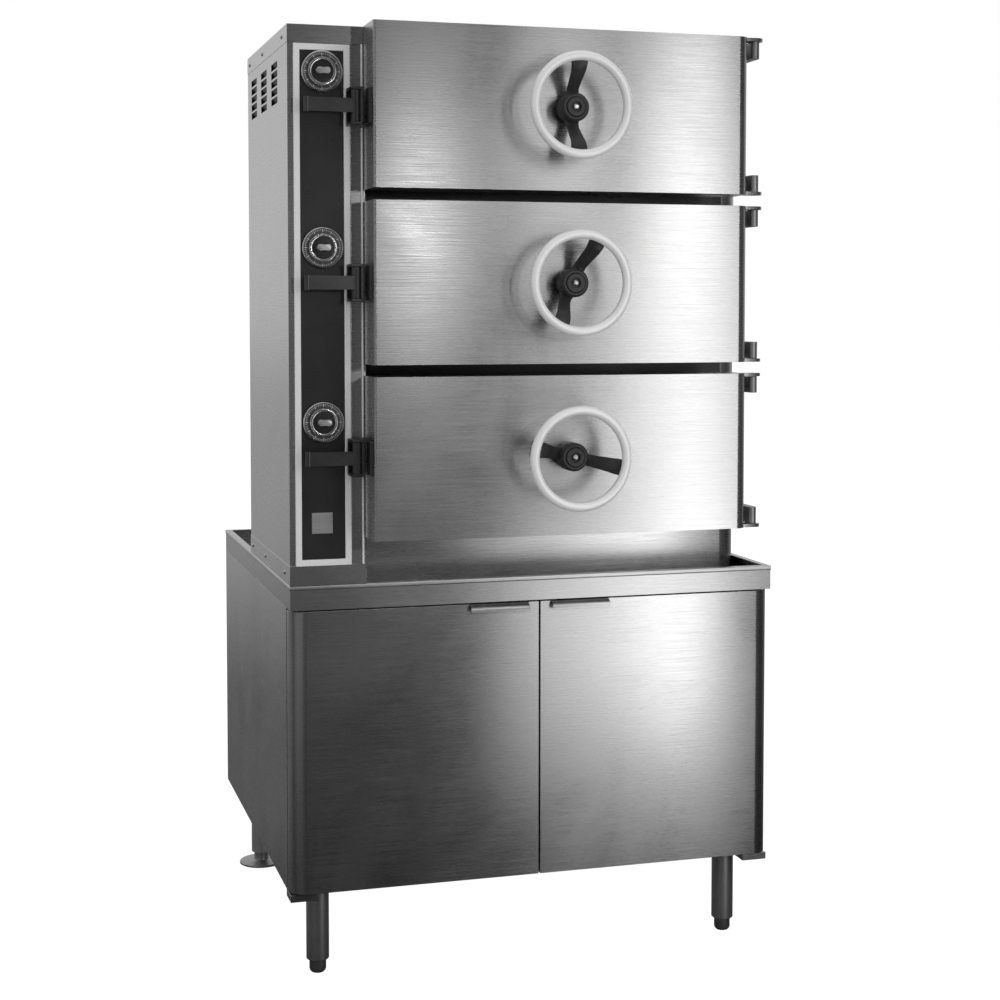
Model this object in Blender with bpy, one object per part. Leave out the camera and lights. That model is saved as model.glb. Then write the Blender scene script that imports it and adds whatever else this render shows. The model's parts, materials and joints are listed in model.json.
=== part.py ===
"""Three-compartment pressure steamer on a cabinet base, in separate pieces. Metres, +Z up, front at -Y."""

import math

import bmesh
import bpy
from mathutils import Matrix, Vector

# Shared sheet and clearances
SHEET = 0.0015
SEAT_GAP = 0.0003
BORE_GAP = 0.0005
CUT_OVERRUN = 0.004
WELD_DEPTH = 0.001

# Cabinet base
CABINET_WIDTH = 0.914
CABINET_DEPTH = 0.838
CABINET_BOTTOM = 0.165
TRAY_TOP = 0.718
RIM_HEIGHT = 0.044
RIM_LIP = 0.012
TRAY_SHEET = 0.002

# Cabinet doors, with rounded outer corners that turn about their own centre
DOOR_CORNER_RADIUS = 0.030
CABINET_DOOR_DEPTH = 0.040
CABINET_DOOR_CLEARANCE = 0.0025
CABINET_DOOR_SPLIT = 0.003
PANEL_TO_DOOR_GAP = 0.006
PIVOT_PIN_RADIUS = 0.004
PIVOT_PIN_REACH = 0.014
PIVOT_TAB_THICKNESS = 0.012
PIVOT_TAB_OVERHANG = 0.018
PIVOT_TAB_DEPTH = 0.044
FACE_CLEARANCE = 0.003
FLOOR_LIP_HEIGHT = 0.025
TOP_RAIL_HEIGHT = 0.032
PULL_INSET = 0.022
PULL_WIDTH = 0.110
PULL_REACH = 0.012
PULL_DROP = 0.015
PULL_WALL = 0.002

# Legs and adjustable feet
LEG_RADIUS = 0.02065
LEG_WALL = 0.002
LEG_PLUG_HEIGHT = 0.030
LEG_SIDE_INSET = 0.060
LEG_FRONT_INSET = 0.080
LEG_BACK_INSET = 0.088
FOOT_HEIGHT = 0.025
FOOT_RADIUS = 0.015
FOOT_TIP_RADIUS = 0.010
FOOT_TIP_HEIGHT = 0.006
FOOT_STEM_RADIUS = 0.006
FOOT_STEM_LENGTH = 0.050
FLANGE_RADIUS = 0.0465
FLANGE_THICKNESS = 0.005

# Control column at the left
COLUMN_WIDTH = 0.136
COLUMN_DEPTH = 0.460
COLUMN_TOP_DROP = 0.001
JAMB_WIDTH = 0.0075
JAMB_PROUD = 0.002
LOUVRE_COLUMNS = 3
LOUVRE_ROWS = 5
LOUVRE_FIRST_DEPTH = 0.138
LOUVRE_COLUMN_PITCH = 0.1205
LOUVRE_WIDTH = 0.068
LOUVRE_ROW_PITCH = 0.0155
LOUVRE_OPENING = 0.0115
LOUVRE_TOP_DROP = 0.049

# Black control panel and its bright frame
FRAME_LEFT_INSET = 0.010
FRAME_WIDTH = 0.099
FRAME_TOP_DROP = 0.032
FRAME_BOTTOM_RISE = 0.035
FRAME_STRIP = 0.011
FRAME_PROUD = 0.0045
PANEL_PROUD = 0.0025

# Steamer doors, top to bottom
LEVEL_NAMES = ("top", "middle", "bottom")
BOTTOM_DOOR_RISE = 0.084
DOOR_GAP = 0.0205
DOOR_HEIGHT = 0.283
DOOR_WIDTH = 0.694
DOOR_LEFT_OVERLAP = 0.003
DOOR_BACK = 0.004
DOOR_DEPTH = 0.081
DOOR_SHEET = 0.002
DOOR_LEFT_RADIUS = 0.004
DOOR_RIGHT_RADIUS = 0.020

# Door hinge: lugs on the door, barrels and pins on the bracket
HINGE_SIDE_GAP = 0.020
HINGE_FACE_INSET = 0.025
LUG_THICKNESS = 0.006
LUG_RADIUS = 0.014
LUG_ROOT = 0.012
BARREL_RADIUS = 0.008
BARREL_HEIGHT = 0.030
HINGE_PIN_RADIUS = 0.004
BRACKET_END_INSET = 0.012

# Strongback bar across the inside of the door
ARM_DEPTH = 0.028
ARM_END_HEIGHT = 0.060
ARM_MIDDLE_HEIGHT = 0.084
ARM_MIDDLE_WIDTH = 0.200
ARM_BACK = 0.036
TONGUE_PROUD = 0.003

# Inner door plate, its gasket and its guides
GASKET_THICKNESS = 0.006
GASKET_WIDTH = 0.012
INNER_PLATE = 0.003
INNER_RIM_DEPTH = 0.015
INNER_SIDE_CLEARANCE = 0.012
INNER_TOP_CLEARANCE = 0.003
BOSS_RADIUS = 0.022
BOSS_LENGTH = 0.010
GUIDE_RADIUS = 0.005
GUIDE_SPACING = 0.320
GUIDE_LENGTH = 0.064

# Screw and handwheel
SCREW_RADIUS = 0.010
SCREW_BUTTON_RADIUS = 0.014
SCREW_BUTTON_THICKNESS = 0.006
SCREW_NOSE_RADIUS = 0.005
SCREW_NOSE_PROUD = 0.002
SCREW_HOLE_CLEARANCE = 0.005
HUB_RADIUS = 0.025
HUB_BACK_GAP = 0.010
HUB_LENGTH = 0.040
HUB_BEVEL = 0.005
HUB_BORE_DEPTH = 0.023
HUB_RECESS_RADIUS = 0.009
HUB_RECESS_DEPTH = 0.004
WHEEL_RADIUS = 0.0925
WHEEL_TUBE_RADIUS = 0.00825
WHEEL_DISH = 0.028
SPOKE_HUB_WIDTH = 0.020
SPOKE_RIM_WIDTH = 0.028
SPOKE_THICKNESS = 0.008
WHEEL_ANGLES = {"top": 90.0, "middle": 65.0, "bottom": -13.0}

# Pressure compartments
COMPARTMENT_SIDE_MARGIN = 0.027
COMPARTMENT_TOP_MARGIN = 0.0135
COMPARTMENT_BACK_MARGIN = 0.253
COMPARTMENT_WALL = 0.003
COMPARTMENT_FRONT = 0.006
MOUTH_FLANGE_WIDTH = 0.0125
MOUTH_FLANGE_THICKNESS = 0.008

# Pan racks inside the compartments
RACK_SIDE_CLEARANCE = 0.004
RACK_HEIGHT = 0.190
RACK_FRONT_INSET = 0.020
RACK_BACK_INSET = 0.029
RACK_SHEET = 0.002
LEDGE_WIDTH = 0.018
LEDGE_HEIGHTS = (0.065, 0.130)

# Body casing around the compartments
CASING_FRONT = 0.125
CASING_RIGHT_INSET = 0.012
CASING_BACK_MARGIN = 0.138
CASING_TOP_DROP = 0.006
CASING_CORNER_RADIUS = 0.040

# Latch beside each door
LATCH_TO_DOOR = 0.0215
LATCH_PIN_RADIUS = 0.004
LATCH_PIN_REACH = 0.041
LATCH_BRACKET_HEIGHT = 0.065
LATCH_BRACKET_WIDTH = 0.020
LATCH_PLATE = 0.005
LATCH_BARREL_RADIUS = 0.009
LATCH_RUNNING_GAP = 0.0005
LATCH_HANDLE_LENGTH = 0.091
LATCH_HANDLE_HEIGHT = 0.024
LATCH_HANDLE_THICKNESS = 0.008
LATCH_TIP_RADIUS = 0.0048
LATCH_HOOK_REACH = 0.0135
LATCH_HOOK_THICKNESS = 0.010

# Timers above each latch
TIMER_DROP = 0.0805
TIMER_RADIUS = 0.036
TIMER_THICKNESS = 0.004
BEZEL_WIDTH = 0.003
BEZEL_PROUD = 0.003
KNOB_SHAFT_RADIUS = 0.004
KNOB_RADIUS = 0.025
KNOB_SKIRT = 0.004
KNOB_DOME_RADIUS = 0.018
KNOB_DOME = 0.005
KNOB_GRIP_LENGTH = 0.026
KNOB_GRIP_WIDTH = 0.012
KNOB_GRIP_HEIGHT = 0.014

# Boiler in the base and the riser that feeds the compartments
BOILER_RADIUS = 0.170
BOILER_LENGTH = 0.620
BOILER_BEVEL = 0.020
BOILER_WALL = 0.005
BOILER_FLOOR_GAP = 0.065
BOILER_BACK_GAP = 0.025
SADDLE_WIDTH = 0.040
SADDLE_SPACING = 0.400
SADDLE_SPREAD = 0.260
RISER_RADIUS = 0.017
PIPE_WALL = 0.0035
RISER_HOLE_CLEARANCE = 0.004
RISER_CAP_RISE = 0.030
BRANCH_RADIUS = 0.0125

# Smoothness of round shapes, as counts
ROUND_SEGMENTS = 24
SMALL_SEGMENTS = 16
RIM_SEGMENTS = 40
TUBE_SEGMENTS = 10
CORNER_STEPS = 6

# Places worked out from the sizes above
DOOR_FACE = DOOR_BACK + DOOR_DEPTH
HUB_BACK = DOOR_FACE + HUB_BACK_GAP
HUB_FRONT = HUB_BACK + HUB_LENGTH
WHEEL_PLANE = HUB_FRONT + WHEEL_DISH
WHEEL_REACH = WHEEL_PLANE + WHEEL_TUBE_RADIUS
FRONT_Y = (WHEEL_REACH - CABINET_DEPTH) / 2
BACK_Y = FRONT_Y + CABINET_DEPTH
HALF_WIDTH = CABINET_WIDTH / 2
TRAY_BOTTOM = TRAY_TOP - RIM_HEIGHT
COLUMN_RIGHT = COLUMN_WIDTH - HALF_WIDTH
DOOR_LEFT = COLUMN_RIGHT - DOOR_LEFT_OVERLAP
DOOR_RIGHT = DOOR_LEFT + DOOR_WIDTH
DOOR_CENTRE = (DOOR_LEFT + DOOR_RIGHT) / 2
HINGE_X = DOOR_RIGHT + HINGE_SIDE_GAP
HINGE_OUT = DOOR_FACE - HINGE_FACE_INSET
MOUTH_HALF_WIDTH = DOOR_WIDTH / 2 - COMPARTMENT_SIDE_MARGIN
MOUTH_HALF_HEIGHT = DOOR_HEIGHT / 2 - COMPARTMENT_TOP_MARGIN
FLANGE_HALF_WIDTH = MOUTH_HALF_WIDTH + MOUTH_FLANGE_WIDTH
FLANGE_HALF_HEIGHT = MOUTH_HALF_HEIGHT + MOUTH_FLANGE_WIDTH
COMPARTMENT_BACK = CABINET_DEPTH - COMPARTMENT_BACK_MARGIN
PIVOT_X = HALF_WIDTH - DOOR_CORNER_RADIUS
PIVOT_Y = FRONT_Y + DOOR_CORNER_RADIUS
BOTTOM_LEVEL = TRAY_TOP + BOTTOM_DOOR_RISE + DOOR_HEIGHT / 2
LEVELS = {name: BOTTOM_LEVEL + (DOOR_HEIGHT + DOOR_GAP) * (len(LEVEL_NAMES) - 1 - index)
          for index, name in enumerate(LEVEL_NAMES)}
COLUMN_TOP = LEVELS["top"] + DOOR_HEIGHT / 2 - COLUMN_TOP_DROP
CASING_TOP = COLUMN_TOP - CASING_TOP_DROP
CABINET_FLOOR_TOP = CABINET_BOTTOM + SHEET
BOILER_Z = CABINET_FLOOR_TOP + BOILER_FLOOR_GAP + BOILER_RADIUS
BOILER_Y = BACK_Y - SHEET - BOILER_BACK_GAP - BOILER_RADIUS

# Colours: red, green, blue, metallic, roughness
STAINLESS = (0.62, 0.62, 0.61, 1.0, 0.32)
CHROME = (0.80, 0.80, 0.80, 1.0, 0.10)
BLACK_ENAMEL = (0.03, 0.03, 0.03, 0.0, 0.35)
CAST_BLACK = (0.05, 0.05, 0.05, 0.3, 0.50)
STEEL = (0.40, 0.40, 0.40, 1.0, 0.40)
RUBBER = (0.06, 0.06, 0.06, 0.0, 0.80)
DIAL = (0.70, 0.70, 0.68, 0.6, 0.30)


def clear_scene():
    """Removes whatever the file holds."""
    for item in list(bpy.data.objects):
        bpy.data.objects.remove(item)


def ahead(distance):
    """Y of a plane this far in front of the cabinet's front face."""
    return FRONT_Y - distance


def behind(distance):
    """Y of a plane this far behind the cabinet's front face."""
    return FRONT_Y + distance


def material(name, finish):
    """A Principled material with the piece's own colour."""
    made = bpy.data.materials.new(name)
    made.use_nodes = True
    shader = made.node_tree.nodes["Principled BSDF"]
    red, green, blue, metallic, roughness = finish
    shader.inputs["Base Color"].default_value = (red, green, blue, 1.0)
    shader.inputs["Metallic"].default_value = metallic
    shader.inputs["Roughness"].default_value = roughness
    return made


def place(name, mesh, finish=None, origin=(0, 0, 0), smooth=False):
    """Links a bmesh as an object whose origin is at the given point; without a finish it is a hidden tool."""
    bmesh.ops.recalc_face_normals(mesh, faces=mesh.faces)
    bmesh.ops.translate(mesh, verts=mesh.verts, vec=-Vector(origin))
    data = bpy.data.meshes.new(name)
    mesh.to_mesh(data)
    mesh.free()
    if smooth:
        data.shade_smooth()
        data.set_sharp_from_angle(angle=math.radians(35))
    item = bpy.data.objects.new(name, data)
    item.location = origin
    bpy.context.scene.collection.objects.link(item)
    if finish is None:
        item.hide_render = True
        item.display_type = "WIRE"
    else:
        data.materials.append(material(name, finish))
    return item


def combine(item, operation, *tools):
    """Adds one Boolean modifier for each tool mesh, which is placed as a hidden object."""
    for number, mesh in enumerate(tools):
        tool = place(f"{item.name}_{operation.lower()}_{len(item.modifiers)}_{number}", mesh)
        modifier = item.modifiers.new(operation.title(), "BOOLEAN")
        modifier.operation = operation
        modifier.solver = "EXACT"
        modifier.object = tool
    return item


def loft(loops, closed=False):
    """Skins loops of equal length; the ends are capped, or joined when the loft is closed."""
    mesh = bmesh.new()
    rings = [[mesh.verts.new(point) for point in loop] for loop in loops]
    pairs = list(zip(rings, rings[1:]))
    if closed:
        pairs.append((rings[-1], rings[0]))
    else:
        mesh.faces.new(rings[0])
        mesh.faces.new(rings[-1])
    for near, far in pairs:
        for index in range(len(near)):
            after = (index + 1) % len(near)
            mesh.faces.new((near[index], near[after], far[after], far[index]))
    return mesh


def block(x, y, z):
    """A box between two values on each axis."""
    loops = [[(a, b, height) for a, b in ((x[0], y[0]), (x[1], y[0]), (x[1], y[1]), (x[0], y[1]))]
             for height in z]
    return loft(loops)


def upright(outline, z):
    """A plan outline of X and Y points extruded between two heights."""
    return loft([[(a, b, height) for a, b in outline] for height in z])


def crosswise(outline, x):
    """A side outline of Y and Z points extruded between two X values."""
    return loft([[(across, a, b) for a, b in outline] for across in x])


def lengthwise(outline, y):
    """A front outline of X and Z points extruded between two Y values."""
    return loft([[(a, depth, b) for a, b in outline] for depth in y])


def circle(radius, centre, axis, segments):
    """Points of a circle about a centre, square to the X, Y or Z axis."""
    points = []
    for index in range(segments):
        angle = math.tau * index / segments
        one, two = radius * math.cos(angle), radius * math.sin(angle)
        offset = {"x": (0, one, two), "y": (one, 0, two), "z": (one, two, 0)}[axis]
        points.append(tuple(a + b for a, b in zip(centre, offset)))
    return points


def turned(profile, centre, axis, segments=ROUND_SEGMENTS, closed=False):
    """A turned solid: the profile gives radius and place along the axis, from end to end."""
    loops = []
    for radius, along in profile:
        middle = {"x": (along, centre[0], centre[1]),
                  "y": (centre[0], along, centre[1]),
                  "z": (centre[0], centre[1], along)}[axis]
        loops.append(circle(radius, middle, axis, segments))
    return loft(loops, closed)


def rod(radius, centre, axis, span, segments=SMALL_SEGMENTS):
    """A plain cylinder between two places along an axis."""
    return turned([(radius, span[0]), (radius, span[1])], centre, axis, segments)


def arc(centre, radius, start, end, steps=CORNER_STEPS):
    """Points of an arc between two angles in degrees."""
    return [(centre[0] + radius * math.cos(math.radians(start + (end - start) * step / steps)),
             centre[1] + radius * math.sin(math.radians(start + (end - start) * step / steps)))
            for step in range(steps + 1)]


def front_outline(left, right, front, back, left_radius, right_radius):
    """A plan outline whose two front corners are rounded."""
    points = [(right, back), (left, back)]
    if left_radius > 0:
        points += arc((left + left_radius, front + left_radius), left_radius, 180, 270)
    else:
        points.append((left, front))
    if right_radius > 0:
        points += arc((right - right_radius, front + right_radius), right_radius, 270, 360)
    else:
        points.append((right, front))
    return points


def rectangle_loop(half_width, half_height, centre_z, y):
    """A rectangle square to Y, about the steamer doors' centre line."""
    return [(DOOR_CENTRE + a * half_width, y, centre_z + b * half_height)
            for a, b in ((-1, -1), (1, -1), (1, 1), (-1, 1))]


def legs_and_feet():
    """Four tubular legs; bullet feet in front and flanged feet behind, each on a threaded stem."""
    top = CABINET_BOTTOM - SEAT_GAP
    bore = FOOT_STEM_RADIUS + BORE_GAP
    for row, y in (("front", behind(LEG_FRONT_INSET)), ("rear", BACK_Y - LEG_BACK_INSET)):
        for side, sign in (("left", -1), ("right", 1)):
            centre = (sign * (HALF_WIDTH - LEG_SIDE_INSET), y)
            leg = [(LEG_RADIUS - LEG_WALL, top - LEG_WALL),
                   (LEG_RADIUS - LEG_WALL, FOOT_HEIGHT + LEG_PLUG_HEIGHT),
                   (bore, FOOT_HEIGHT + LEG_PLUG_HEIGHT), (bore, FOOT_HEIGHT),
                   (LEG_RADIUS, FOOT_HEIGHT), (LEG_RADIUS, top)]
            place(f"leg_{row}_{side}", turned(leg, centre, "z"), STAINLESS, smooth=True)
            shoulder = FOOT_HEIGHT - SEAT_GAP
            if row == "front":
                tip = [(FOOT_TIP_RADIUS, 0), (FOOT_RADIUS, FOOT_TIP_HEIGHT)]
            else:
                tip = [(FLANGE_RADIUS, 0), (FLANGE_RADIUS, FLANGE_THICKNESS),
                       (FOOT_RADIUS, FLANGE_THICKNESS + FLANGE_THICKNESS)]
            stem = [(FOOT_RADIUS, shoulder), (FOOT_STEM_RADIUS, shoulder),
                    (FOOT_STEM_RADIUS, shoulder + FOOT_STEM_LENGTH)]
            foot = turned(tip + stem, centre, "z")
            place(f"foot_{row}_{side}", foot, STEEL, (centre[0], centre[1], 0), smooth=True)


def base_cabinet():
    """Open-fronted cabinet shell with door pivots, a floor lip and a top rail."""
    front = behind(CABINET_DOOR_DEPTH + PANEL_TO_DOOR_GAP)
    top = TRAY_BOTTOM - SEAT_GAP
    shell = block((-HALF_WIDTH, HALF_WIDTH), (front, BACK_Y), (CABINET_BOTTOM, top))
    inside = block((SHEET - HALF_WIDTH, HALF_WIDTH - SHEET), (front - CUT_OVERRUN, BACK_Y - SHEET),
                   (CABINET_FLOOR_TOP, top + CUT_OVERRUN))
    cabinet = place("base_cabinet", shell, STAINLESS)
    combine(cabinet, "DIFFERENCE", inside)
    swing = math.hypot(DOOR_CORNER_RADIUS, CABINET_DOOR_DEPTH - DOOR_CORNER_RADIUS)
    face = PIVOT_Y + swing + FACE_CLEARANCE
    inner = HALF_WIDTH - SHEET / 2
    rail = block((-inner, inner), (face, face + SHEET), (top - TOP_RAIL_HEIGHT, top))
    lip = block((-inner, inner), (face, face + SHEET),
                (CABINET_FLOOR_TOP - SHEET / 2, CABINET_FLOOR_TOP + FLOOR_LIP_HEIGHT))
    combine(cabinet, "UNION", rail, lip)
    for sign in (-1, 1):
        outer, inward = sign * HALF_WIDTH, sign * (PIVOT_X - PIVOT_TAB_OVERHANG)
        tab_front = PIVOT_Y - PIVOT_TAB_OVERHANG
        tab = block(sorted((outer, inward)), (tab_front, tab_front + PIVOT_TAB_DEPTH),
                    (CABINET_BOTTOM - PIVOT_TAB_THICKNESS, CABINET_BOTTOM + SHEET / 2))
        pin = rod(PIVOT_PIN_RADIUS, (sign * PIVOT_X, PIVOT_Y), "z",
                  (CABINET_BOTTOM - WELD_DEPTH, CABINET_BOTTOM + PIVOT_PIN_REACH))
        combine(cabinet, "UNION", tab, pin)


def cabinet_door(side, sign):
    """A pan door: rounded outer corner, returns all round, a finger pull at the top, and two pivot holes."""
    bottom = CABINET_FLOOR_TOP + CABINET_DOOR_CLEARANCE
    top = TRAY_BOTTOM - CABINET_DOOR_CLEARANCE
    inner = CABINET_DOOR_SPLIT / 2

    def outline(inset, back):
        radius = DOOR_CORNER_RADIUS - inset
        points = front_outline(inner + inset, HALF_WIDTH - inset, FRONT_Y + inset, back, 0, radius)
        return [(sign * a, b) for a, b in points]

    back = behind(CABINET_DOOR_DEPTH)
    skin = upright(outline(0, back), (bottom, top))
    hollow = upright(outline(SHEET, back + CUT_OVERRUN), (bottom + SHEET, top - SHEET))
    door = place(f"base_door_{side}", skin, STAINLESS, (sign * PIVOT_X, PIVOT_Y, bottom))
    combine(door, "DIFFERENCE", hollow)
    bore = rod(PIVOT_PIN_RADIUS + BORE_GAP, (sign * PIVOT_X, PIVOT_Y), "z", (bottom - SHEET, top + SHEET))
    combine(door, "DIFFERENCE", bore)
    root = FRONT_Y + SHEET / 2
    bend = PULL_REACH
    curve = arc((FRONT_Y, top - bend), bend, 90, 180)
    inner_curve = arc((FRONT_Y, top - bend), bend - PULL_WALL, 180, 90)
    lip = ([(root, top)] + curve + [(ahead(PULL_REACH), top - PULL_DROP),
           (ahead(PULL_REACH - PULL_WALL), top - PULL_DROP)] + inner_curve + [(root, top - PULL_WALL)])
    span = sorted((sign * PULL_INSET, sign * (PULL_INSET + PULL_WIDTH)))
    combine(door, "UNION", crosswise(lip, span))


def drip_tray():
    """Shallow tray with a hemmed rim, a hole for the riser and the top pivots of the cabinet doors."""
    tray = place("drip_tray", block((-HALF_WIDTH, HALF_WIDTH), (FRONT_Y, BACK_Y), (TRAY_BOTTOM, TRAY_TOP)),
                 STAINLESS)
    wall = HALF_WIDTH - TRAY_SHEET
    pocket = block((-wall, wall), (FRONT_Y + TRAY_SHEET, BACK_Y - TRAY_SHEET),
                   (TRAY_BOTTOM + TRAY_SHEET, TRAY_TOP - TRAY_SHEET))
    mouth = block((RIM_LIP - HALF_WIDTH, HALF_WIDTH - RIM_LIP), (FRONT_Y + RIM_LIP, BACK_Y - RIM_LIP),
                  (TRAY_BOTTOM + RIM_HEIGHT / 2, TRAY_TOP + CUT_OVERRUN))
    riser_hole = rod(RISER_RADIUS + RISER_HOLE_CLEARANCE, (0, BOILER_Y), "z",
                     (TRAY_BOTTOM - CUT_OVERRUN, TRAY_BOTTOM + TRAY_SHEET + CUT_OVERRUN))
    combine(tray, "DIFFERENCE", pocket, mouth, riser_hole)
    for sign in (-1, 1):
        pin = rod(PIVOT_PIN_RADIUS, (sign * PIVOT_X, PIVOT_Y), "z",
                  (TRAY_BOTTOM - PIVOT_PIN_REACH, TRAY_BOTTOM + TRAY_SHEET / 2))
        combine(tray, "UNION", pin)


def body_casing():
    """Casing around the compartments, standing in the tray, open below, with three necks' openings."""
    left, right = COLUMN_RIGHT + SEAT_GAP, HALF_WIDTH - CASING_RIGHT_INSET
    front, back = behind(CASING_FRONT), BACK_Y - CASING_BACK_MARGIN
    floor = TRAY_BOTTOM + TRAY_SHEET + SEAT_GAP
    outer = upright(front_outline(left, right, front, back, 0, CASING_CORNER_RADIUS), (floor, CASING_TOP))
    hollow = upright(front_outline(left + SHEET, right - SHEET, front + SHEET, back - SHEET, 0,
                                   CASING_CORNER_RADIUS - SHEET), (floor - CUT_OVERRUN, CASING_TOP - SHEET))
    casing = place("body_casing", outer, STAINLESS)
    combine(casing, "DIFFERENCE", hollow)
    for level in LEVELS.values():
        half_width, half_height = MOUTH_HALF_WIDTH + SEAT_GAP, MOUTH_HALF_HEIGHT + SEAT_GAP
        neck = loft([rectangle_loop(half_width, half_height, level, y)
                     for y in (front - CUT_OVERRUN, front + SHEET + CUT_OVERRUN)])
        combine(casing, "DIFFERENCE", neck)


def control_column():
    """Tall housing of the controls, with a raised jamb strip and louvred vents on its left side."""
    left, floor = -HALF_WIDTH, TRAY_TOP + SEAT_GAP
    jamb = COLUMN_RIGHT - JAMB_WIDTH
    outline = [(left, FRONT_Y), (jamb, FRONT_Y), (jamb, ahead(JAMB_PROUD)), (COLUMN_RIGHT, ahead(JAMB_PROUD)),
               (COLUMN_RIGHT, behind(COLUMN_DEPTH)), (left, behind(COLUMN_DEPTH))]
    column = place("control_column", upright(outline, (floor, COLUMN_TOP)), STAINLESS)
    hollow = block((left + SHEET, COLUMN_RIGHT - SHEET),
                   (FRONT_Y + SHEET, behind(COLUMN_DEPTH) - SHEET), (floor - CUT_OVERRUN, COLUMN_TOP - SHEET))
    combine(column, "DIFFERENCE", hollow)
    for stack in range(LOUVRE_COLUMNS):
        for row in range(LOUVRE_ROWS):
            middle = behind(LOUVRE_FIRST_DEPTH + LOUVRE_COLUMN_PITCH * stack)
            high = COLUMN_TOP - LOUVRE_TOP_DROP - LOUVRE_ROW_PITCH * row
            span = (middle - LOUVRE_WIDTH / 2, middle + LOUVRE_WIDTH / 2)
            slot = block((left - CUT_OVERRUN, left + SHEET + CUT_OVERRUN), span,
                         (high - LOUVRE_OPENING, high))
            combine(column, "DIFFERENCE", slot)


def panel_box():
    """Left, right, bottom and top of the bright frame's outer edge."""
    left = FRAME_LEFT_INSET - HALF_WIDTH
    return left, left + FRAME_WIDTH, TRAY_TOP + FRAME_BOTTOM_RISE, COLUMN_TOP - FRAME_TOP_DROP


def panel_centre():
    """X of the middle of the control panel."""
    left, right = panel_box()[:2]
    return (left + right) / 2


def control_panel():
    """Black panel plate inside a bright frame, both on the column's front."""
    left, right, low, high = panel_box()
    seat = ahead(SEAT_GAP)

    def ring(inset, y):
        return [(left + inset, y, low + inset), (right - inset, y, low + inset),
                (right - inset, y, high - inset), (left + inset, y, high - inset)]

    frame = loft([ring(FRAME_STRIP, seat), ring(0, seat), ring(0, ahead(FRAME_PROUD)),
                  ring(FRAME_STRIP, ahead(FRAME_PROUD))], closed=True)
    place("panel_frame", frame, CHROME)
    inset = FRAME_STRIP + SEAT_GAP
    place("control_panel", loft([ring(inset, seat), ring(inset, ahead(PANEL_PROUD))]), BLACK_ENAMEL)


def timer(name, level):
    """Timer dial with a bezel, and its knob on a short shaft."""
    x, z = panel_centre(), level + DOOR_HEIGHT / 2 - TIMER_DROP
    back, face = ahead(PANEL_PROUD + SEAT_GAP), ahead(PANEL_PROUD + SEAT_GAP + TIMER_THICKNESS)
    bore = KNOB_SHAFT_RADIUS + BORE_GAP
    rim, inner = face - BEZEL_PROUD, TIMER_RADIUS - BEZEL_WIDTH
    dial = [(bore, back), (TIMER_RADIUS, back), (TIMER_RADIUS, rim), (inner, rim), (inner, face), (bore, face)]
    place(f"timer_dial_{name}", turned(dial, (x, z), "y", closed=True), DIAL, smooth=True)
    seat = face - SEAT_GAP
    front = seat - KNOB_SKIRT
    crown = front - KNOB_DOME
    knob = [(KNOB_SHAFT_RADIUS, back - SEAT_GAP), (KNOB_SHAFT_RADIUS, seat), (KNOB_RADIUS, seat),
            (KNOB_RADIUS, front), (KNOB_DOME_RADIUS, front), (KNOB_DOME_RADIUS - KNOB_DOME, crown)]
    item = place(f"timer_knob_{name}", turned(knob, (x, z), "y"), CHROME, (x, face, z), smooth=True)
    grip = block((x - KNOB_GRIP_LENGTH / 2, x + KNOB_GRIP_LENGTH / 2), (front - KNOB_GRIP_HEIGHT, front),
                 (z - KNOB_GRIP_WIDTH / 2, z + KNOB_GRIP_WIDTH / 2))
    combine(item, "UNION", grip)


def compartment(name, level):
    """Pressure compartment: welded box with a flanged mouth."""
    front, back = behind(COMPARTMENT_FRONT), behind(COMPARTMENT_BACK)
    wall = COMPARTMENT_WALL
    step = front + MOUTH_FLANGE_THICKNESS
    loops = [rectangle_loop(MOUTH_HALF_WIDTH - wall, MOUTH_HALF_HEIGHT - wall, level, back - wall),
             rectangle_loop(MOUTH_HALF_WIDTH - wall, MOUTH_HALF_HEIGHT - wall, level, front),
             rectangle_loop(FLANGE_HALF_WIDTH, FLANGE_HALF_HEIGHT, level, front),
             rectangle_loop(FLANGE_HALF_WIDTH, FLANGE_HALF_HEIGHT, level, step),
             rectangle_loop(MOUTH_HALF_WIDTH, MOUTH_HALF_HEIGHT, level, step),
             rectangle_loop(MOUTH_HALF_WIDTH, MOUTH_HALF_HEIGHT, level, back)]
    place(f"compartment_{name}", loft(loops), STEEL)


def pan_rack(name, level):
    """Sheet rack that stands on the compartment's floor, with ledges for the pans at both sides."""
    floor = level - MOUTH_HALF_HEIGHT + COMPARTMENT_WALL + SEAT_GAP
    half = MOUTH_HALF_WIDTH - COMPARTMENT_WALL - RACK_SIDE_CLEARANCE
    side = [(half, 0), (half, RACK_HEIGHT), (half - RACK_SHEET, RACK_HEIGHT)]
    for height in reversed(LEDGE_HEIGHTS):
        side += [(half - RACK_SHEET, height + RACK_SHEET), (half - LEDGE_WIDTH, height + RACK_SHEET),
                 (half - LEDGE_WIDTH, height), (half - RACK_SHEET, height)]
    side.append((half - RACK_SHEET, RACK_SHEET))
    mirrored = [(-a, b) for a, b in reversed(side)]
    outline = [(DOOR_CENTRE + a, floor + b) for a, b in side + mirrored]
    span = (behind(COMPARTMENT_FRONT + RACK_FRONT_INSET), behind(COMPARTMENT_BACK - RACK_BACK_INSET))
    place(f"pan_rack_{name}", lengthwise(outline, span), STEEL)


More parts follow.
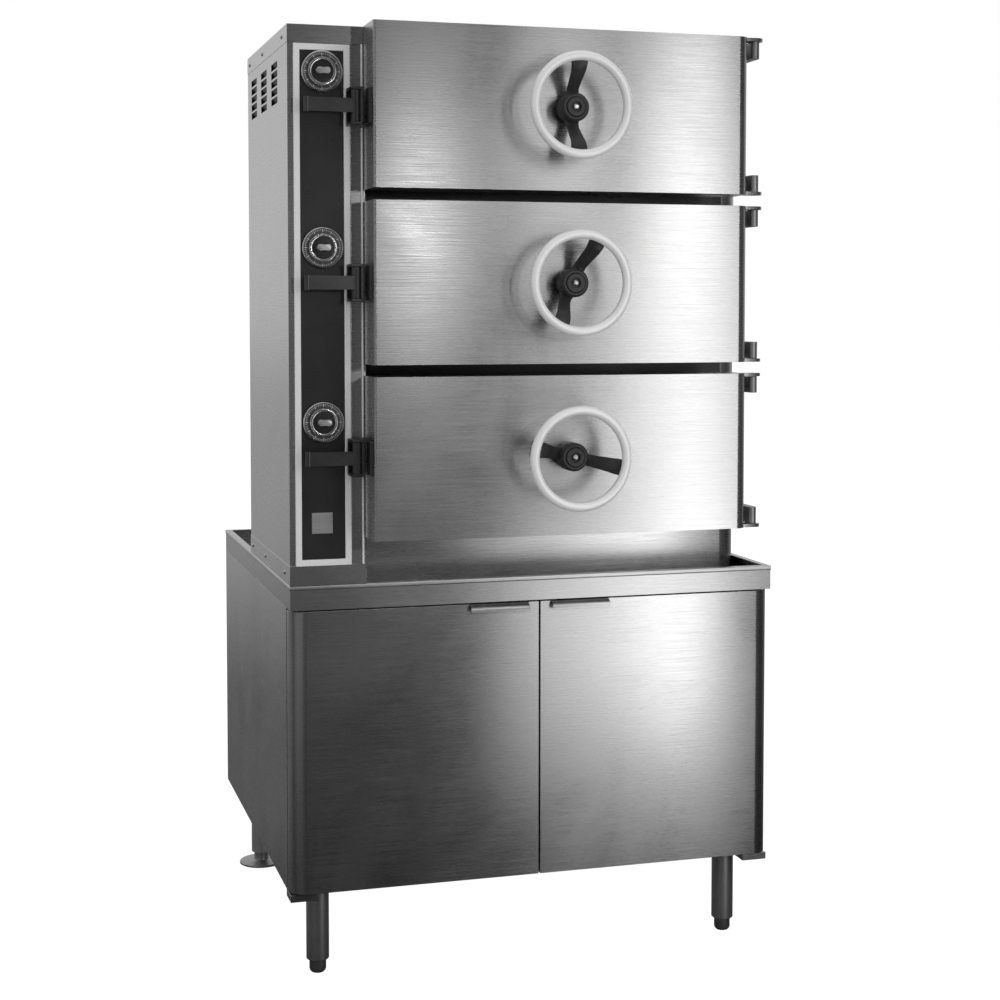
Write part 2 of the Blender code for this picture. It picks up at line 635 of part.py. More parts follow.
def door_casing(name, level):
    """Outer pan of a steamer door, with two hinge lugs, the screw's hole and the strongback's slot."""
    low, high = level - DOOR_HEIGHT / 2, level + DOOR_HEIGHT / 2
    face, back = ahead(DOOR_FACE), ahead(DOOR_BACK)
    outer = upright(front_outline(DOOR_LEFT, DOOR_RIGHT, face, back, DOOR_LEFT_RADIUS, DOOR_RIGHT_RADIUS),
                    (low, high))
    hollow = upright(front_outline(DOOR_LEFT + DOOR_SHEET, DOOR_RIGHT - DOOR_SHEET, face + DOOR_SHEET,
                                   back + CUT_OVERRUN, DOOR_LEFT_RADIUS - DOOR_SHEET,
                                   DOOR_RIGHT_RADIUS - DOOR_SHEET), (low + DOOR_SHEET, high - DOOR_SHEET))
    casing = place(f"door_casing_{name}", outer, STAINLESS, (HINGE_X, ahead(HINGE_OUT), level))
    combine(casing, "DIFFERENCE", hollow)
    axis = (HINGE_X, ahead(HINGE_OUT))
    nose = arc(axis, LUG_RADIUS, -90, 90)
    root = DOOR_RIGHT - LUG_ROOT
    lug = [(root, axis[1] - LUG_RADIUS)] + nose + [(root, axis[1] + LUG_RADIUS)]
    for span in ((low, low + LUG_THICKNESS), (high - LUG_THICKNESS, high)):
        combine(casing, "UNION", upright(lug, span))
    pins = rod(HINGE_PIN_RADIUS + BORE_GAP, axis, "z", (low - CUT_OVERRUN, high + CUT_OVERRUN))
    screw_hole = rod(SCREW_RADIUS + SCREW_HOLE_CLEARANCE, (DOOR_CENTRE, level), "y",
                     (face - CUT_OVERRUN, face + CUT_OVERRUN), ROUND_SEGMENTS)
    half = ARM_END_HEIGHT / 2 + SEAT_GAP
    slot_front, slot_back = ahead(ARM_BACK + ARM_DEPTH + SEAT_GAP), ahead(ARM_BACK - SEAT_GAP)
    slot = block((DOOR_LEFT - CUT_OVERRUN, DOOR_LEFT + DOOR_SHEET + CUT_OVERRUN), (slot_front, slot_back),
                 (level - half, level + half))
    combine(casing, "DIFFERENCE", pins, screw_hole, slot)


def hinge_bracket(name, level):
    """Strap on the compartment's flange with two barrels and pins for the door's lugs."""
    axis = (HINGE_X, ahead(HINGE_OUT))
    edge = DOOR_CENTRE + FLANGE_HALF_WIDTH + SEAT_GAP
    high = level + DOOR_HEIGHT / 2 - LUG_THICKNESS - SEAT_GAP
    low = level - DOOR_HEIGHT / 2 + LUG_THICKNESS + SEAT_GAP
    near = behind(COMPARTMENT_FRONT)
    strap = block((edge, HINGE_X + BARREL_RADIUS), (near, near + MOUTH_FLANGE_THICKNESS),
                  (low + BRACKET_END_INSET, high - BRACKET_END_INSET))
    bracket = place(f"hinge_bracket_{name}", strap, STAINLESS)
    arm = ([(HINGE_X + BARREL_RADIUS, near + WELD_DEPTH), (HINGE_X - BARREL_RADIUS, near + WELD_DEPTH)]
           + arc(axis, BARREL_RADIUS, 180, 360))
    for span in ((low, low + BARREL_HEIGHT), (high - BARREL_HEIGHT, high)):
        combine(bracket, "UNION", upright(arm, span))
    for span in ((low - LUG_THICKNESS, low + WELD_DEPTH), (high - WELD_DEPTH, high + LUG_THICKNESS)):
        combine(bracket, "UNION", rod(HINGE_PIN_RADIUS, axis, "z", span))


def cross_arm(name, level):
    """Strongback: a forged bar with a tongue at the latch side, bored for the screw and two guides."""
    left, right = DOOR_LEFT - TONGUE_PROUD, DOOR_RIGHT - DOOR_SHEET - SEAT_GAP
    end, middle = ARM_END_HEIGHT / 2, ARM_MIDDLE_HEIGHT / 2
    near, far = DOOR_CENTRE - ARM_MIDDLE_WIDTH / 2, DOOR_CENTRE + ARM_MIDDLE_WIDTH / 2
    waist = ARM_MIDDLE_HEIGHT - ARM_END_HEIGHT
    half = [(left, end), (near - waist, end), (near, middle), (far, middle), (far + waist, end), (right, end)]
    outline = [(a, level - b) for a, b in half] + [(a, level + b) for a, b in reversed(half)]
    span = (ahead(ARM_BACK + ARM_DEPTH), ahead(ARM_BACK))
    arm = place(f"cross_arm_{name}", lengthwise(outline, span), STEEL)
    through = (span[0] - CUT_OVERRUN, span[1] + CUT_OVERRUN)
    combine(arm, "DIFFERENCE", rod(SCREW_RADIUS + BORE_GAP, (DOOR_CENTRE, level), "y", through))
    for sign in (-1, 1):
        place_x = DOOR_CENTRE + sign * GUIDE_SPACING / 2
        combine(arm, "DIFFERENCE", rod(GUIDE_RADIUS + BORE_GAP, (place_x, level), "y", through))


def inner_half_sizes():
    """Half width and half height of the inner door plate."""
    return (DOOR_WIDTH / 2 - DOOR_SHEET - INNER_SIDE_CLEARANCE,
            DOOR_HEIGHT / 2 - DOOR_SHEET - INNER_TOP_CLEARANCE)


def gasket(name, level):
    """Rectangular seal between the inner door and the compartment's flange."""
    half_width, half_height = inner_half_sizes()
    back = behind(COMPARTMENT_FRONT) - SEAT_GAP
    front = back - GASKET_THICKNESS
    inner = (half_width - GASKET_WIDTH, half_height - GASKET_WIDTH)
    loops = [rectangle_loop(*inner, level, back), rectangle_loop(half_width, half_height, level, back),
             rectangle_loop(half_width, half_height, level, front), rectangle_loop(*inner, level, front)]
    place(f"gasket_{name}", loft(loops, closed=True), RUBBER)


def inner_door_back():
    """Y of the inner door plate's back face, against the gasket."""
    return behind(COMPARTMENT_FRONT) - SEAT_GAP - GASKET_THICKNESS - SEAT_GAP


def inner_door(name, level):
    """Pressed inner door: a pan with a boss for the screw and two guide studs."""
    half_width, half_height = inner_half_sizes()
    back = inner_door_back()
    plate, lip = back - INNER_PLATE, back - INNER_RIM_DEPTH
    inside = (half_width - INNER_PLATE, half_height - INNER_PLATE)
    loops = [rectangle_loop(*inside, level, plate), rectangle_loop(*inside, level, lip),
             rectangle_loop(half_width, half_height, level, lip),
             rectangle_loop(half_width, half_height, level, back)]
    door = place(f"inner_door_{name}", loft(loops), STAINLESS)
    boss = rod(BOSS_RADIUS, (DOOR_CENTRE, level), "y", (plate - BOSS_LENGTH, plate + WELD_DEPTH),
               ROUND_SEGMENTS)
    combine(door, "UNION", boss)
    for sign in (-1, 1):
        centre = (DOOR_CENTRE + sign * GUIDE_SPACING / 2, level)
        combine(door, "UNION", rod(GUIDE_RADIUS, centre, "y", (plate - GUIDE_LENGTH, plate + WELD_DEPTH)))


def wheel_screw(name, level):
    """Closing screw: thrust button on the inner door, shaft through the strongback, nose in the hub."""
    start = inner_door_back() - INNER_PLATE - BOSS_LENGTH - SEAT_GAP
    button = start - SCREW_BUTTON_THICKNESS
    shoulder = ahead(HUB_BACK + HUB_BORE_DEPTH) + SEAT_GAP
    nose = ahead(HUB_FRONT + SCREW_NOSE_PROUD)
    profile = [(SCREW_BUTTON_RADIUS, start), (SCREW_BUTTON_RADIUS, button), (SCREW_RADIUS, button),
               (SCREW_RADIUS, shoulder), (SCREW_NOSE_RADIUS, shoulder),
               (SCREW_NOSE_RADIUS, nose + SCREW_NOSE_PROUD), (SCREW_NOSE_RADIUS - SCREW_NOSE_PROUD, nose)]
    screw = turned(profile, (DOOR_CENTRE, level), "y")
    place(f"wheel_screw_{name}", screw, STEEL, (DOOR_CENTRE, start, level), smooth=True)


def wheel_spider(name, level):
    """Cast hub with two dished spokes that carry the wheel's rim."""
    bore, small = SCREW_RADIUS + SEAT_GAP, SCREW_NOSE_RADIUS + SEAT_GAP
    back, front = ahead(HUB_BACK), ahead(HUB_FRONT)
    shoulder, floor = ahead(HUB_BACK + HUB_BORE_DEPTH), ahead(HUB_FRONT - HUB_RECESS_DEPTH)
    hub = [(bore, back), (HUB_RADIUS - HUB_BEVEL, back), (HUB_RADIUS, back - HUB_BEVEL),
           (HUB_RADIUS, front + HUB_BEVEL), (HUB_RADIUS - HUB_BEVEL, front), (HUB_RECESS_RADIUS, front),
           (HUB_RECESS_RADIUS, floor), (small, floor), (small, shoulder), (bore, shoulder)]
    centre = (DOOR_CENTRE, level)
    spider = place(f"wheel_spider_{name}", turned(hub, centre, "y", closed=True), CAST_BLACK,
                   (DOOR_CENTRE, back, level), smooth=True)
    seat = ahead(WHEEL_PLANE - WHEEL_TUBE_RADIUS - SEAT_GAP)
    middle = ahead(HUB_BACK + HUB_LENGTH / 2)
    ring = WHEEL_RADIUS - WHEEL_TUBE_RADIUS
    stations = ((SCREW_RADIUS + HUB_BEVEL, SPOKE_HUB_WIDTH, middle), (HUB_RADIUS, SPOKE_HUB_WIDTH, middle),
                (ring - WHEEL_TUBE_RADIUS - HUB_BEVEL, SPOKE_RIM_WIDTH, seat),
                (ring + WHEEL_TUBE_RADIUS / 2, SPOKE_RIM_WIDTH, seat))
    for turn in (0, 180):
        angle = math.radians(WHEEL_ANGLES[name] + turn)
        loops = [[(reach, y + offset, side * width / 2) for offset, side in
                  ((0, -1), (0, 1), (SPOKE_THICKNESS, 1), (SPOKE_THICKNESS, -1))]
                 for reach, width, y in stations]
        spoke = loft(loops)
        spin = Matrix.Translation((DOOR_CENTRE, 0, level)) @ Matrix.Rotation(-angle, 4, "Y")
        bmesh.ops.transform(spoke, matrix=spin, verts=spoke.verts)
        combine(spider, "UNION", spoke)


def wheel_rim(name, level):
    """Round bright rim of the handwheel."""
    ring = WHEEL_RADIUS - WHEEL_TUBE_RADIUS
    profile = []
    for step in range(TUBE_SEGMENTS):
        angle = math.tau * step / TUBE_SEGMENTS
        profile.append((ring + WHEEL_TUBE_RADIUS * math.sin(angle),
                        ahead(WHEEL_PLANE) + WHEEL_TUBE_RADIUS * math.cos(angle)))
    rim = turned(profile, (DOOR_CENTRE, level), "y", RIM_SEGMENTS, closed=True)
    place(f"wheel_rim_{name}", rim, CHROME, (DOOR_CENTRE, ahead(WHEEL_PLANE), level), smooth=True)


def latch(name, level):
    """Latch bracket on the column, and the swinging latch arm with its handle and hook."""
    x, y = DOOR_LEFT - LATCH_TO_DOOR, ahead(LATCH_PIN_REACH)
    half, plate = LATCH_BRACKET_HEIGHT / 2, LATCH_PLATE
    seat = ahead(FRAME_PROUD + SEAT_GAP)
    nose = y - LATCH_BARREL_RADIUS
    outline = [(seat, level - half), (nose, level - half), (nose, level - half + plate),
               (seat - plate, level - half + plate), (seat - plate, level + half - plate),
               (nose, level + half - plate), (nose, level + half), (seat, level + half)]
    side = LATCH_BRACKET_WIDTH / 2
    bracket = place(f"latch_bracket_{name}", crosswise(outline, (x - side, x + side)), CAST_BLACK)
    pin = rod(LATCH_PIN_RADIUS, (x, y), "z", (level - half + WELD_DEPTH, level + half - WELD_DEPTH))
    spacer = block((panel_box()[1] + SEAT_GAP, x + side), (seat - WELD_DEPTH, ahead(SEAT_GAP)),
                   (level - half, level + half))
    combine(bracket, "UNION", pin, spacer)
    tall = half - plate - LATCH_RUNNING_GAP
    bore = LATCH_PIN_RADIUS + BORE_GAP
    barrel = [(bore, level - tall), (LATCH_BARREL_RADIUS, level - tall), (LATCH_BARREL_RADIUS, level + tall),
              (bore, level + tall)]
    arm = place(f"latch_arm_{name}", turned(barrel, (x, y), "z", SMALL_SEGMENTS, closed=True), STAINLESS,
                (x, y, level), smooth=True)
    tip = x - LATCH_HANDLE_LENGTH + LATCH_TIP_RADIUS
    bar_back = y
    handle = block((tip, x - bore - LATCH_RUNNING_GAP), (bar_back - LATCH_HANDLE_THICKNESS, bar_back),
                   (level - LATCH_HANDLE_HEIGHT / 2, level + LATCH_HANDLE_HEIGHT / 2))
    roll = rod(LATCH_TIP_RADIUS, (tip, bar_back - LATCH_HANDLE_THICKNESS / 2), "z",
               (level - LATCH_HANDLE_HEIGHT / 2 - WELD_DEPTH, level + LATCH_HANDLE_HEIGHT / 2 + WELD_DEPTH))
    hook = block((x + bore + LATCH_RUNNING_GAP, x + LATCH_HOOK_REACH),
                 (y - LATCH_HOOK_THICKNESS / 2, y + LATCH_HOOK_THICKNESS / 2), (level - tall, level + tall))
    combine(arm, "UNION", handle, roll, hook)


def boiler():
    """Horizontal boiler shell on two saddles, in the back of the cabinet, with its outlet on top."""
    half = BOILER_LENGTH / 2

    def tank(inset):
        radius, end = BOILER_RADIUS - inset, half - inset
        profile = [(radius - BOILER_BEVEL, -end), (radius, BOILER_BEVEL - end),
                   (radius, end - BOILER_BEVEL), (radius - BOILER_BEVEL, end)]
        return turned(profile, (BOILER_Y, BOILER_Z), "x", RIM_SEGMENTS)

    item = place("boiler", tank(0), STEEL, smooth=True)
    for sign in (-1, 1):
        x = sign * SADDLE_SPACING / 2
        saddle = block((x - SADDLE_WIDTH / 2, x + SADDLE_WIDTH / 2),
                       (BOILER_Y - SADDLE_SPREAD / 2, BOILER_Y + SADDLE_SPREAD / 2),
                       (CABINET_FLOOR_TOP + SEAT_GAP, BOILER_Z - BOILER_RADIUS / 2))
        combine(item, "UNION", saddle)
    top = BOILER_Z + BOILER_RADIUS
    outlet = rod(RISER_RADIUS - PIPE_WALL, (0, BOILER_Y), "z", (BOILER_Z, top + CUT_OVERRUN))
    combine(item, "DIFFERENCE", tank(BOILER_WALL), outlet)


def steam_riser():
    """Steam pipe from the boiler through the tray, with a branch to the back of each compartment."""
    start = BOILER_Z + BOILER_RADIUS + SEAT_GAP
    top = LEVELS["top"] + RISER_CAP_RISE
    riser = place("steam_riser", rod(RISER_RADIUS, (0, BOILER_Y), "z", (start, top)), STEEL, smooth=True)
    near = behind(COMPARTMENT_BACK) + SEAT_GAP
    for level in LEVELS.values():
        combine(riser, "UNION", rod(BRANCH_RADIUS, (0, level), "y", (near, BOILER_Y)))
    bores = [rod(RISER_RADIUS - PIPE_WALL, (0, BOILER_Y), "z", (start - CUT_OVERRUN, top - PIPE_WALL))]
    for level in LEVELS.values():
        bores.append(rod(BRANCH_RADIUS - PIPE_WALL, (0, level), "y", (near - CUT_OVERRUN, BOILER_Y)))
    combine(riser, "DIFFERENCE", *bores)


def main():
    clear_scene()
    legs_and_feet()
    base_cabinet()
    cabinet_door("left", -1)
    cabinet_door("right", 1)
    drip_tray()
    body_casing()
    control_column()
    control_panel()
    boiler()
    steam_riser()
    for name, level in LEVELS.items():
        for make in (compartment, pan_rack, gasket, hinge_bracket, door_casing, cross_arm, inner_door,
                     wheel_screw, wheel_spider, wheel_rim, latch, timer):
            make(name, level)


main()
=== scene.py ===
"""Looks of the pressure steamer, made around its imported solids. Metres, Z up, front at -Y."""

import json
import math

import bmesh
import bpy
from mathutils import Matrix, Vector


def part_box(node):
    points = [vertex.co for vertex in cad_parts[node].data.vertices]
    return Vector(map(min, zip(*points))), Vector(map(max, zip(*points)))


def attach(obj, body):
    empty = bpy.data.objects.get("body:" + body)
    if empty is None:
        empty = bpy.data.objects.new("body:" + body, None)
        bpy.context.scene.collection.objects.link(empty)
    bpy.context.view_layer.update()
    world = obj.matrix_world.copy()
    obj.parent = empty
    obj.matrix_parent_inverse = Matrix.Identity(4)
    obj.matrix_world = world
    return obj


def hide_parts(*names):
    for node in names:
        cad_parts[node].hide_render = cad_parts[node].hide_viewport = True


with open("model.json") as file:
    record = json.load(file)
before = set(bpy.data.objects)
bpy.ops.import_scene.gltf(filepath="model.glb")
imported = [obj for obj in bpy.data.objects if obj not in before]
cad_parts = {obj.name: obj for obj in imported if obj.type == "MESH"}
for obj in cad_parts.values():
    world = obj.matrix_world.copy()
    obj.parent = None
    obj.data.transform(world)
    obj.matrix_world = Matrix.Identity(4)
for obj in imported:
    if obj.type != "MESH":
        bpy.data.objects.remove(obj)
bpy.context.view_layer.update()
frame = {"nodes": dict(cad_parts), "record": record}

NODES = frame["nodes"]
BODY_OF = {node: body for body, nodes in frame["record"]["behaviour"]["bodies"].items() for node in nodes}
LEVEL_NAMES = ("top", "middle", "bottom")
SIDES = ("left", "right")

# Mesh work
MERGE_DISTANCE = 0.00001
FLAT_ANGLE = 1.0
SMOOTH_ANGLE = 35.0
FINEST = 96
FINE = 64
MEDIUM = 40
COARSE = 20

# Noise in the materials
NOISE_LOW = 0.3
NOISE_HIGH = 0.7
NOISE_ROUGHNESS = 0.6
SMUDGE_SCALE = 4.2
SMUDGE_WARP = 0.7
SMUDGE_ROUGHNESS = 0.03
MOTTLE_SCALE = 9.0
MOTTLE_WARP = 0.4
MOTTLE_ROUGHNESS = 0.05
BUMP_DISTANCE = 0.0004

# How far brushed steel spreads light across its grain
BRUSHED_SPREAD = 0.7

# Edges of sheet metal and castings
THIN_EDGE = 0.0005
DOOR_EDGE = 0.0008
FRAME_EDGE = 0.0012
LATCH_EDGE = 0.0008
CAST_EDGE = 0.0010

# Screw heads: radius of each sort, and rings as shares of the radius and of the height
CABINET_SCREW = 0.0045
COLUMN_SCREW = 0.0038
CASING_SCREW = 0.0042
SCREW_HEIGHT = 0.5
SCREW_RINGS = ((1.0, 0.0), (1.0, 0.35), (0.86, 0.75), (0.60, 1.0), (0.45, 1.0), (0.42, 0.35))

# Leg tubes, with the collar under the cabinet
LEG_BORE = 0.35
LEG_CHAMFER = 0.0012
LEG_TOP = 0.9
COLLAR_HEIGHT = 0.005
COLLAR_SLOPE = 0.001
COLLAR_PROUD = 0.0016

# Feet: radius and height of each ring; those of the flange's edge count from its radius
FOOT_RADIUS = 0.0152
FOOT_CHAMFER = 0.001
FOOT_GAP = 0.0003
STEM_RADIUS = 0.006
BULLET_TIP = ((0.0095, 0.0), (0.0115, 0.0008), (0.0140, 0.0035), (0.0152, 0.0070))
FLANGE_EDGE = ((-0.0015, 0.0), (0.0, 0.0008), (0.0, 0.0038), (-0.0012, 0.005))
FLANGE_NECK = ((0.0200, 0.0056), (0.0160, 0.0085), (0.0152, 0.012))

# Screws at the cabinet's back
CABINET_SCREW_ROWS = 4
CABINET_SCREW_END = 0.04
CABINET_SCREW_SIDE = 0.018

# Tray hem
HEM_HEIGHT = 0.008
HEM_PROUD = 0.0010
HEM_SINK = 0.0005
HEM_STEPS = 8

# Cap and foot band of the column, and the casing's cap
CAP_HEIGHT = 0.030
FOOT_BAND_HEIGHT = 0.035
BAND_PROUD = 0.0007
BAND_EDGE = 0.0005

# Bead along the jamb, whose pale plating is a painted highlight line
BEAD_WIDTH = 0.0036
BEAD_PROUD = 0.0016
BEAD_STEPS = 6
JAMB_WIDTH = 0.0075
BEAD_END_GAP = 0.001

# Louvre blades; the outline gives each corner's way in and way down
LOUVRE_COLUMNS = 3
LOUVRE_ROWS = 5
LOUVRE_FIRST_DEPTH = 0.138
LOUVRE_COLUMN_PITCH = 0.1205
LOUVRE_WIDTH = 0.068
LOUVRE_ROW_PITCH = 0.0155
LOUVRE_TOP_DROP = 0.049
BLADE_INSET = 0.0018
BLADE_OVERLAP = 0.002
BLADE_OUTLINE = ((0.0, 0.0005), (0.009, -0.0125), (0.010, -0.0125), (0.001, 0.0005))

# Screws of the column
COLUMN_SIDE_SCREWS = (0.055, 0.275)
COLUMN_REAR_SCREW = 0.03
COLUMN_BACK_END = 0.10
COLUMN_BACK_SIDE = 0.014

# Casing: rounded front corner, and screws at the back and on the top
CASING_CORNER = 0.040
CORNER_STEPS = 12
CASING_FRONT_GAP = 0.002
CASING_BACK_ROWS = 6
CASING_BACK_END = 0.08
CASING_BACK_SIDE = 0.02
CASING_TOP_ROWS = 4
CASING_TOP_END = 0.06
CASING_TOP_FRONT = 0.06
CASING_TOP_REAR = 0.04

# Black strips of painted shade seen between the doors
GAP_SHADE_PROUD = 0.0006
GAP_SHADE_OVERLAP = 0.010
GAP_SHADE_EDGE = 0.001

# Bare plate on the control panel
PLATE_CENTRE = (-0.4001, 0.8276)
PLATE_SIZE = 0.037
PLATE_THICKNESS = 0.0012
PLATE_SINK = 0.0002
PLATE_EDGE = 0.0006

# Handwheels: rim, and hub outlines as radius and place along the axis
WHEEL_ANGLES = {"top": 90.0, "middle": 65.0, "bottom": -13.0}
RIM_TUBE_RADIUS = 0.00825
HUB_RADIUS = 0.025
HUB_BORE = 0.0105
HUB_SINK = 0.002
HUB_STEP_RADIUS = 0.017
HUB_BACK_EDGE = ((-0.004, 0.0), (-0.001, -0.0015), (0.0, -0.005))
HUB_FRONT_EDGE = ((0.0, 0.007), (-0.0012, 0.0045), (-0.004, 0.0025))
HUB_STEP_EDGE = ((0.0012, 0.0025), (0.0, 0.0037), (-0.0004, 0.0008), (-0.0014, 0.0))
HUB_RECESS = ((0.0095, 0.0), (0.0085, 0.001), (0.0085, 0.004), (0.0053, 0.004),
              (0.0053, 0.017), (0.0105, 0.017))

# Spokes, which widen from the hub to the rim and carry a ridge
SPOKE_REACHES = (0.022, 0.027, 0.034, 0.046, 0.060, 0.071)
SPOKE_START = 0.025
SPOKE_END = 0.071
SPOKE_FLAT_END = 0.070
SPOKE_HUB_WIDTH = 0.020
SPOKE_RIM_WIDTH = 0.028
SPOKE_FLARE = 0.004
FLARE_REACH = 0.03
FLARE_LENGTH = 0.008
WIDENING = 1.5
SPOKE_THICKNESS = 0.008
SPOKE_CHAMFER = 0.001
SPOKE_SIDE = 0.0022
SPOKE_SHOULDER = 0.0006
SHOULDER_WIDTH = 0.0016
SPOKE_RIDGE = 0.0012
RIDGE_HALF = 0.0015
RIDGE_FOOT_RISE = 0.2
RIDGE_FOOT_WIDTH = 0.35
RIM_CLEARANCE = 0.0003

# Timers: outlines of the bezel and the knob's ring, as radius and place along the axis
EDGE_CHAMFER = 0.0006
FACE_DROP = 0.003
DIAL_BORE = 0.0045
BEZEL_WIDTH = 0.0032
BEZEL_OUTER = ((0.0, 0.0018), (-0.0008, 0.0004), (-0.0016, 0.0))
BEZEL_INNER = ((0.0004, 0.0010), (0.0, 0.0024))
KNOB_SINK = 0.0003
KNOB_BORE = 0.004
KNOB_RING_WIDTH = 0.0055
KNOB_RING_HEIGHT = 0.006
KNOB_OUTER = ((0.0, 0.0016), (-0.0008, 0.0004), (-0.0020, 0.0))
KNOB_INNER = ((0.0012, 0.0), (0.0003, 0.0005), (0.0, 0.0014))
KNOB_FACE_GAP = 0.0002
KNOB_FACE_DROP = 0.0032
KNOB_FACE_RISE = 0.0028
KNOB_FACE_RADIUS = 0.0120

# Minute scale of a timer
TICKS = 60
LONG_TICK_EVERY = 5
TICK_WIDTH = 0.0007
LONG_TICK_WIDTH = 1.6
TICK_THICKNESS = 0.0003
TICK_SINK = 0.0001
TICK_OUTER = 0.0008
TICK_INNER = 0.0034
LONG_TICK_INNER = 0.0052

# Two-lobed grip of a timer's knob; its levels give a share of the outline and a place
GRIP_LOBE_RADIUS = 0.0068
GRIP_LOBE_OFFSET = 0.0056
GRIP_PULL = 2.2
GRIP_WAIST = 0.22
GRIP_WAIST_WIDTH = 0.30
GRIP_SINK = 0.0030
GRIP_HEIGHT = 0.018
GRIP_TOP = ((1.0, 0.0020), (0.96, 0.0008), (0.86, 0.0))

# Camera, fitted to the photograph's edges
CAMERA_PLACE = (-0.9751, -3.4073, 1.2017)
CAMERA_YAW = 16.315
CAMERA_PITCH = 2.914
CAMERA_LENS = 64.286
CAMERA_SHIFT = -0.10
SENSOR = 36.0

# Floor: its colour in plain light, and how white the camera sees it
WHITE = (1.0, 1.0, 1.0, 1.0)
FLOOR_REACH = 40.0
FLOOR_GREY = (0.55, 0.55, 0.55, 1.0)
FLOOR_WHITE = 1.25
FLOOR_WHITE_SHARE = 0.80

# How bright reflections see the floor: start, end, and the level at each
FLOOR_NEAR = (-0.3, 0.8, 0.012, 0.10)
FLOOR_FAR = (2.2, 5.5, 0.0, 0.24)
FLOOR_AHEAD = (-5.5, -2.2, 0.13, 0.0)
FLOOR_LEFT = (-3.0, -1.2, 0.14, 0.0)
FLOOR_FRONT_ONLY = (-1.0, 0.0, 1.0, 0.0)

# How bright reflections see the room, by direction, and its even light
ROOM_BACK = (-0.35, 0.75, 0.025, 0.60)
ROOM_SKY = (0.25, 0.9, 0.0, 0.5)
ROOM_LEFT = (-0.5, -0.15, 0.30, 0.0)
ROOM_FRONT_ONLY = (-0.4, 0.0, 1.0, 0.0)
ROOM_LIGHT = 0.85

# Small key lamp, which casts the handwheels' shadows
KEY_PLACE = (0.34, -2.82, 1.47)
KEY_TARGET = (0.0, -0.4, 1.1)
KEY_SIZE = (0.09, 0.14)
KEY_POWER = 1.3

# Strip lamps: power by height, then by place across
STRIP_SIZE = (0.20, 0.65)
STRIP_PLANE = -1.75
FRONT_PLANE = -0.42
STRIP_TURN = 0.5
STRIP_POWERS = {1.65: {0.45: 0.50, 0.80: 1.0},
                1.05: {0.45: 0.13, 0.70: 0.55, 0.88: 0.72},
                0.35: {0.45: 0.42, 0.66: 0.6, 0.86: 1.15}}


# Shader nodes

def node(tree, kind, inputs=None, **settings):
    """Adds a shader node; an input is linked where its value is a socket, and set otherwise."""
    made = tree.nodes.new(kind)
    for key, value in settings.items():
        setattr(made, key, value)
    for key, value in (inputs or {}).items():
        if isinstance(value, bpy.types.NodeSocket):
            tree.links.new(value, made.inputs[key])
        else:
            made.inputs[key].default_value = value
    return made


def ramp(tree, value, start, end, low, high):
    """Goes from low where the value is start to high where it is end, and stays level beyond them."""
    limits = {"Value": value, "From Min": start, "From Max": end, "To Min": low, "To Max": high}
    return node(tree, "ShaderNodeMapRange", limits).outputs["Result"]


def calc(tree, operation, first, second):
    """One step of arithmetic on two values."""
    return node(tree, "ShaderNodeMath", {0: first, 1: second}, operation=operation).outputs[0]


def noise(tree, place, scale, detail=4.0, distortion=0.0, stretch=(1, 1, 1)):
    """Noise from object coordinates, stretched along an axis where a grain runs."""
    vector = node(tree, "ShaderNodeMapping", {"Vector": place, "Scale": stretch}).outputs["Vector"]
    made = node(tree, "ShaderNodeTexNoise", {"Vector": vector, "Scale": scale, "Detail": detail,
                                             "Roughness": NOISE_ROUGHNESS, "Distortion": distortion})
    return made.outputs["Fac"]


def spread(tree, value, low, high):
    """Maps the middle of a noise onto a range."""
    return ramp(tree, value, NOISE_LOW, NOISE_HIGH, low, high)


def grey(tree, value):
    """A neutral colour from one value."""
    made = node(tree, "ShaderNodeCombineColor", {"Red": value, "Green": value, "Blue": value})
    return made.outputs["Color"]


def start_material(name):
    """A new material with its tree and its Principled shader."""
    material = bpy.data.materials.new(name)
    material.use_nodes = True
    tree = material.node_tree
    return material, tree, tree.nodes["Principled BSDF"]


def finish_material(tree, shader, shade, rough, height, strength):
    """Links a material's tone, roughness and bump to its shader."""
    tree.links.new(grey(tree, shade), shader.inputs["Base Color"])
    tree.links.new(rough, shader.inputs["Roughness"])
    bump = node(tree, "ShaderNodeBump", {"Height": height, "Strength": strength, "Distance": BUMP_DISTANCE})
    tree.links.new(bump.outputs["Normal"], shader.inputs["Normal"])


# Materials

def brushed(name, tone, roughness, grain, variation=0.05, scratch=0.02, lobe=0.07, across=None):
    """Brushed steel: fine lines in tone, roughness and height, and broad smudges in tone.

    Light spreads along the way across the grain, which is given where the piece's grain runs one way."""
    material, tree, shader = start_material(name)
    place = node(tree, "ShaderNodeTexCoord").outputs["Object"]
    lines = noise(tree, place, 1.0, 5.0, 0.0, grain)
    smudge = noise(tree, place, SMUDGE_SCALE, 5.0, SMUDGE_WARP)
    tone_value = spread(tree, smudge, tone * (1 - variation), tone * (1 + variation))
    line_tone = spread(tree, lines, 1 - variation / 2, 1 + variation / 2)
    shade = calc(tree, "MULTIPLY", tone_value, line_tone)
    shader.inputs["Metallic"].default_value = 1.0
    rough_lines = spread(tree, lines, roughness - lobe * 0.4, roughness + lobe)
    rough_smudge = spread(tree, smudge, -SMUDGE_ROUGHNESS, SMUDGE_ROUGHNESS)
    rough = calc(tree, "ADD", rough_lines, rough_smudge)
    finish_material(tree, shader, shade, rough, lines, scratch)
    if across:
        way = node(tree, "ShaderNodeVectorTransform", {"Vector": across}, vector_type="VECTOR",
                   convert_from="OBJECT", convert_to="WORLD").outputs["Vector"]
        tree.links.new(way, shader.inputs["Tangent"])
        shader.inputs["Anisotropic"].default_value = BRUSHED_SPREAD
    return material


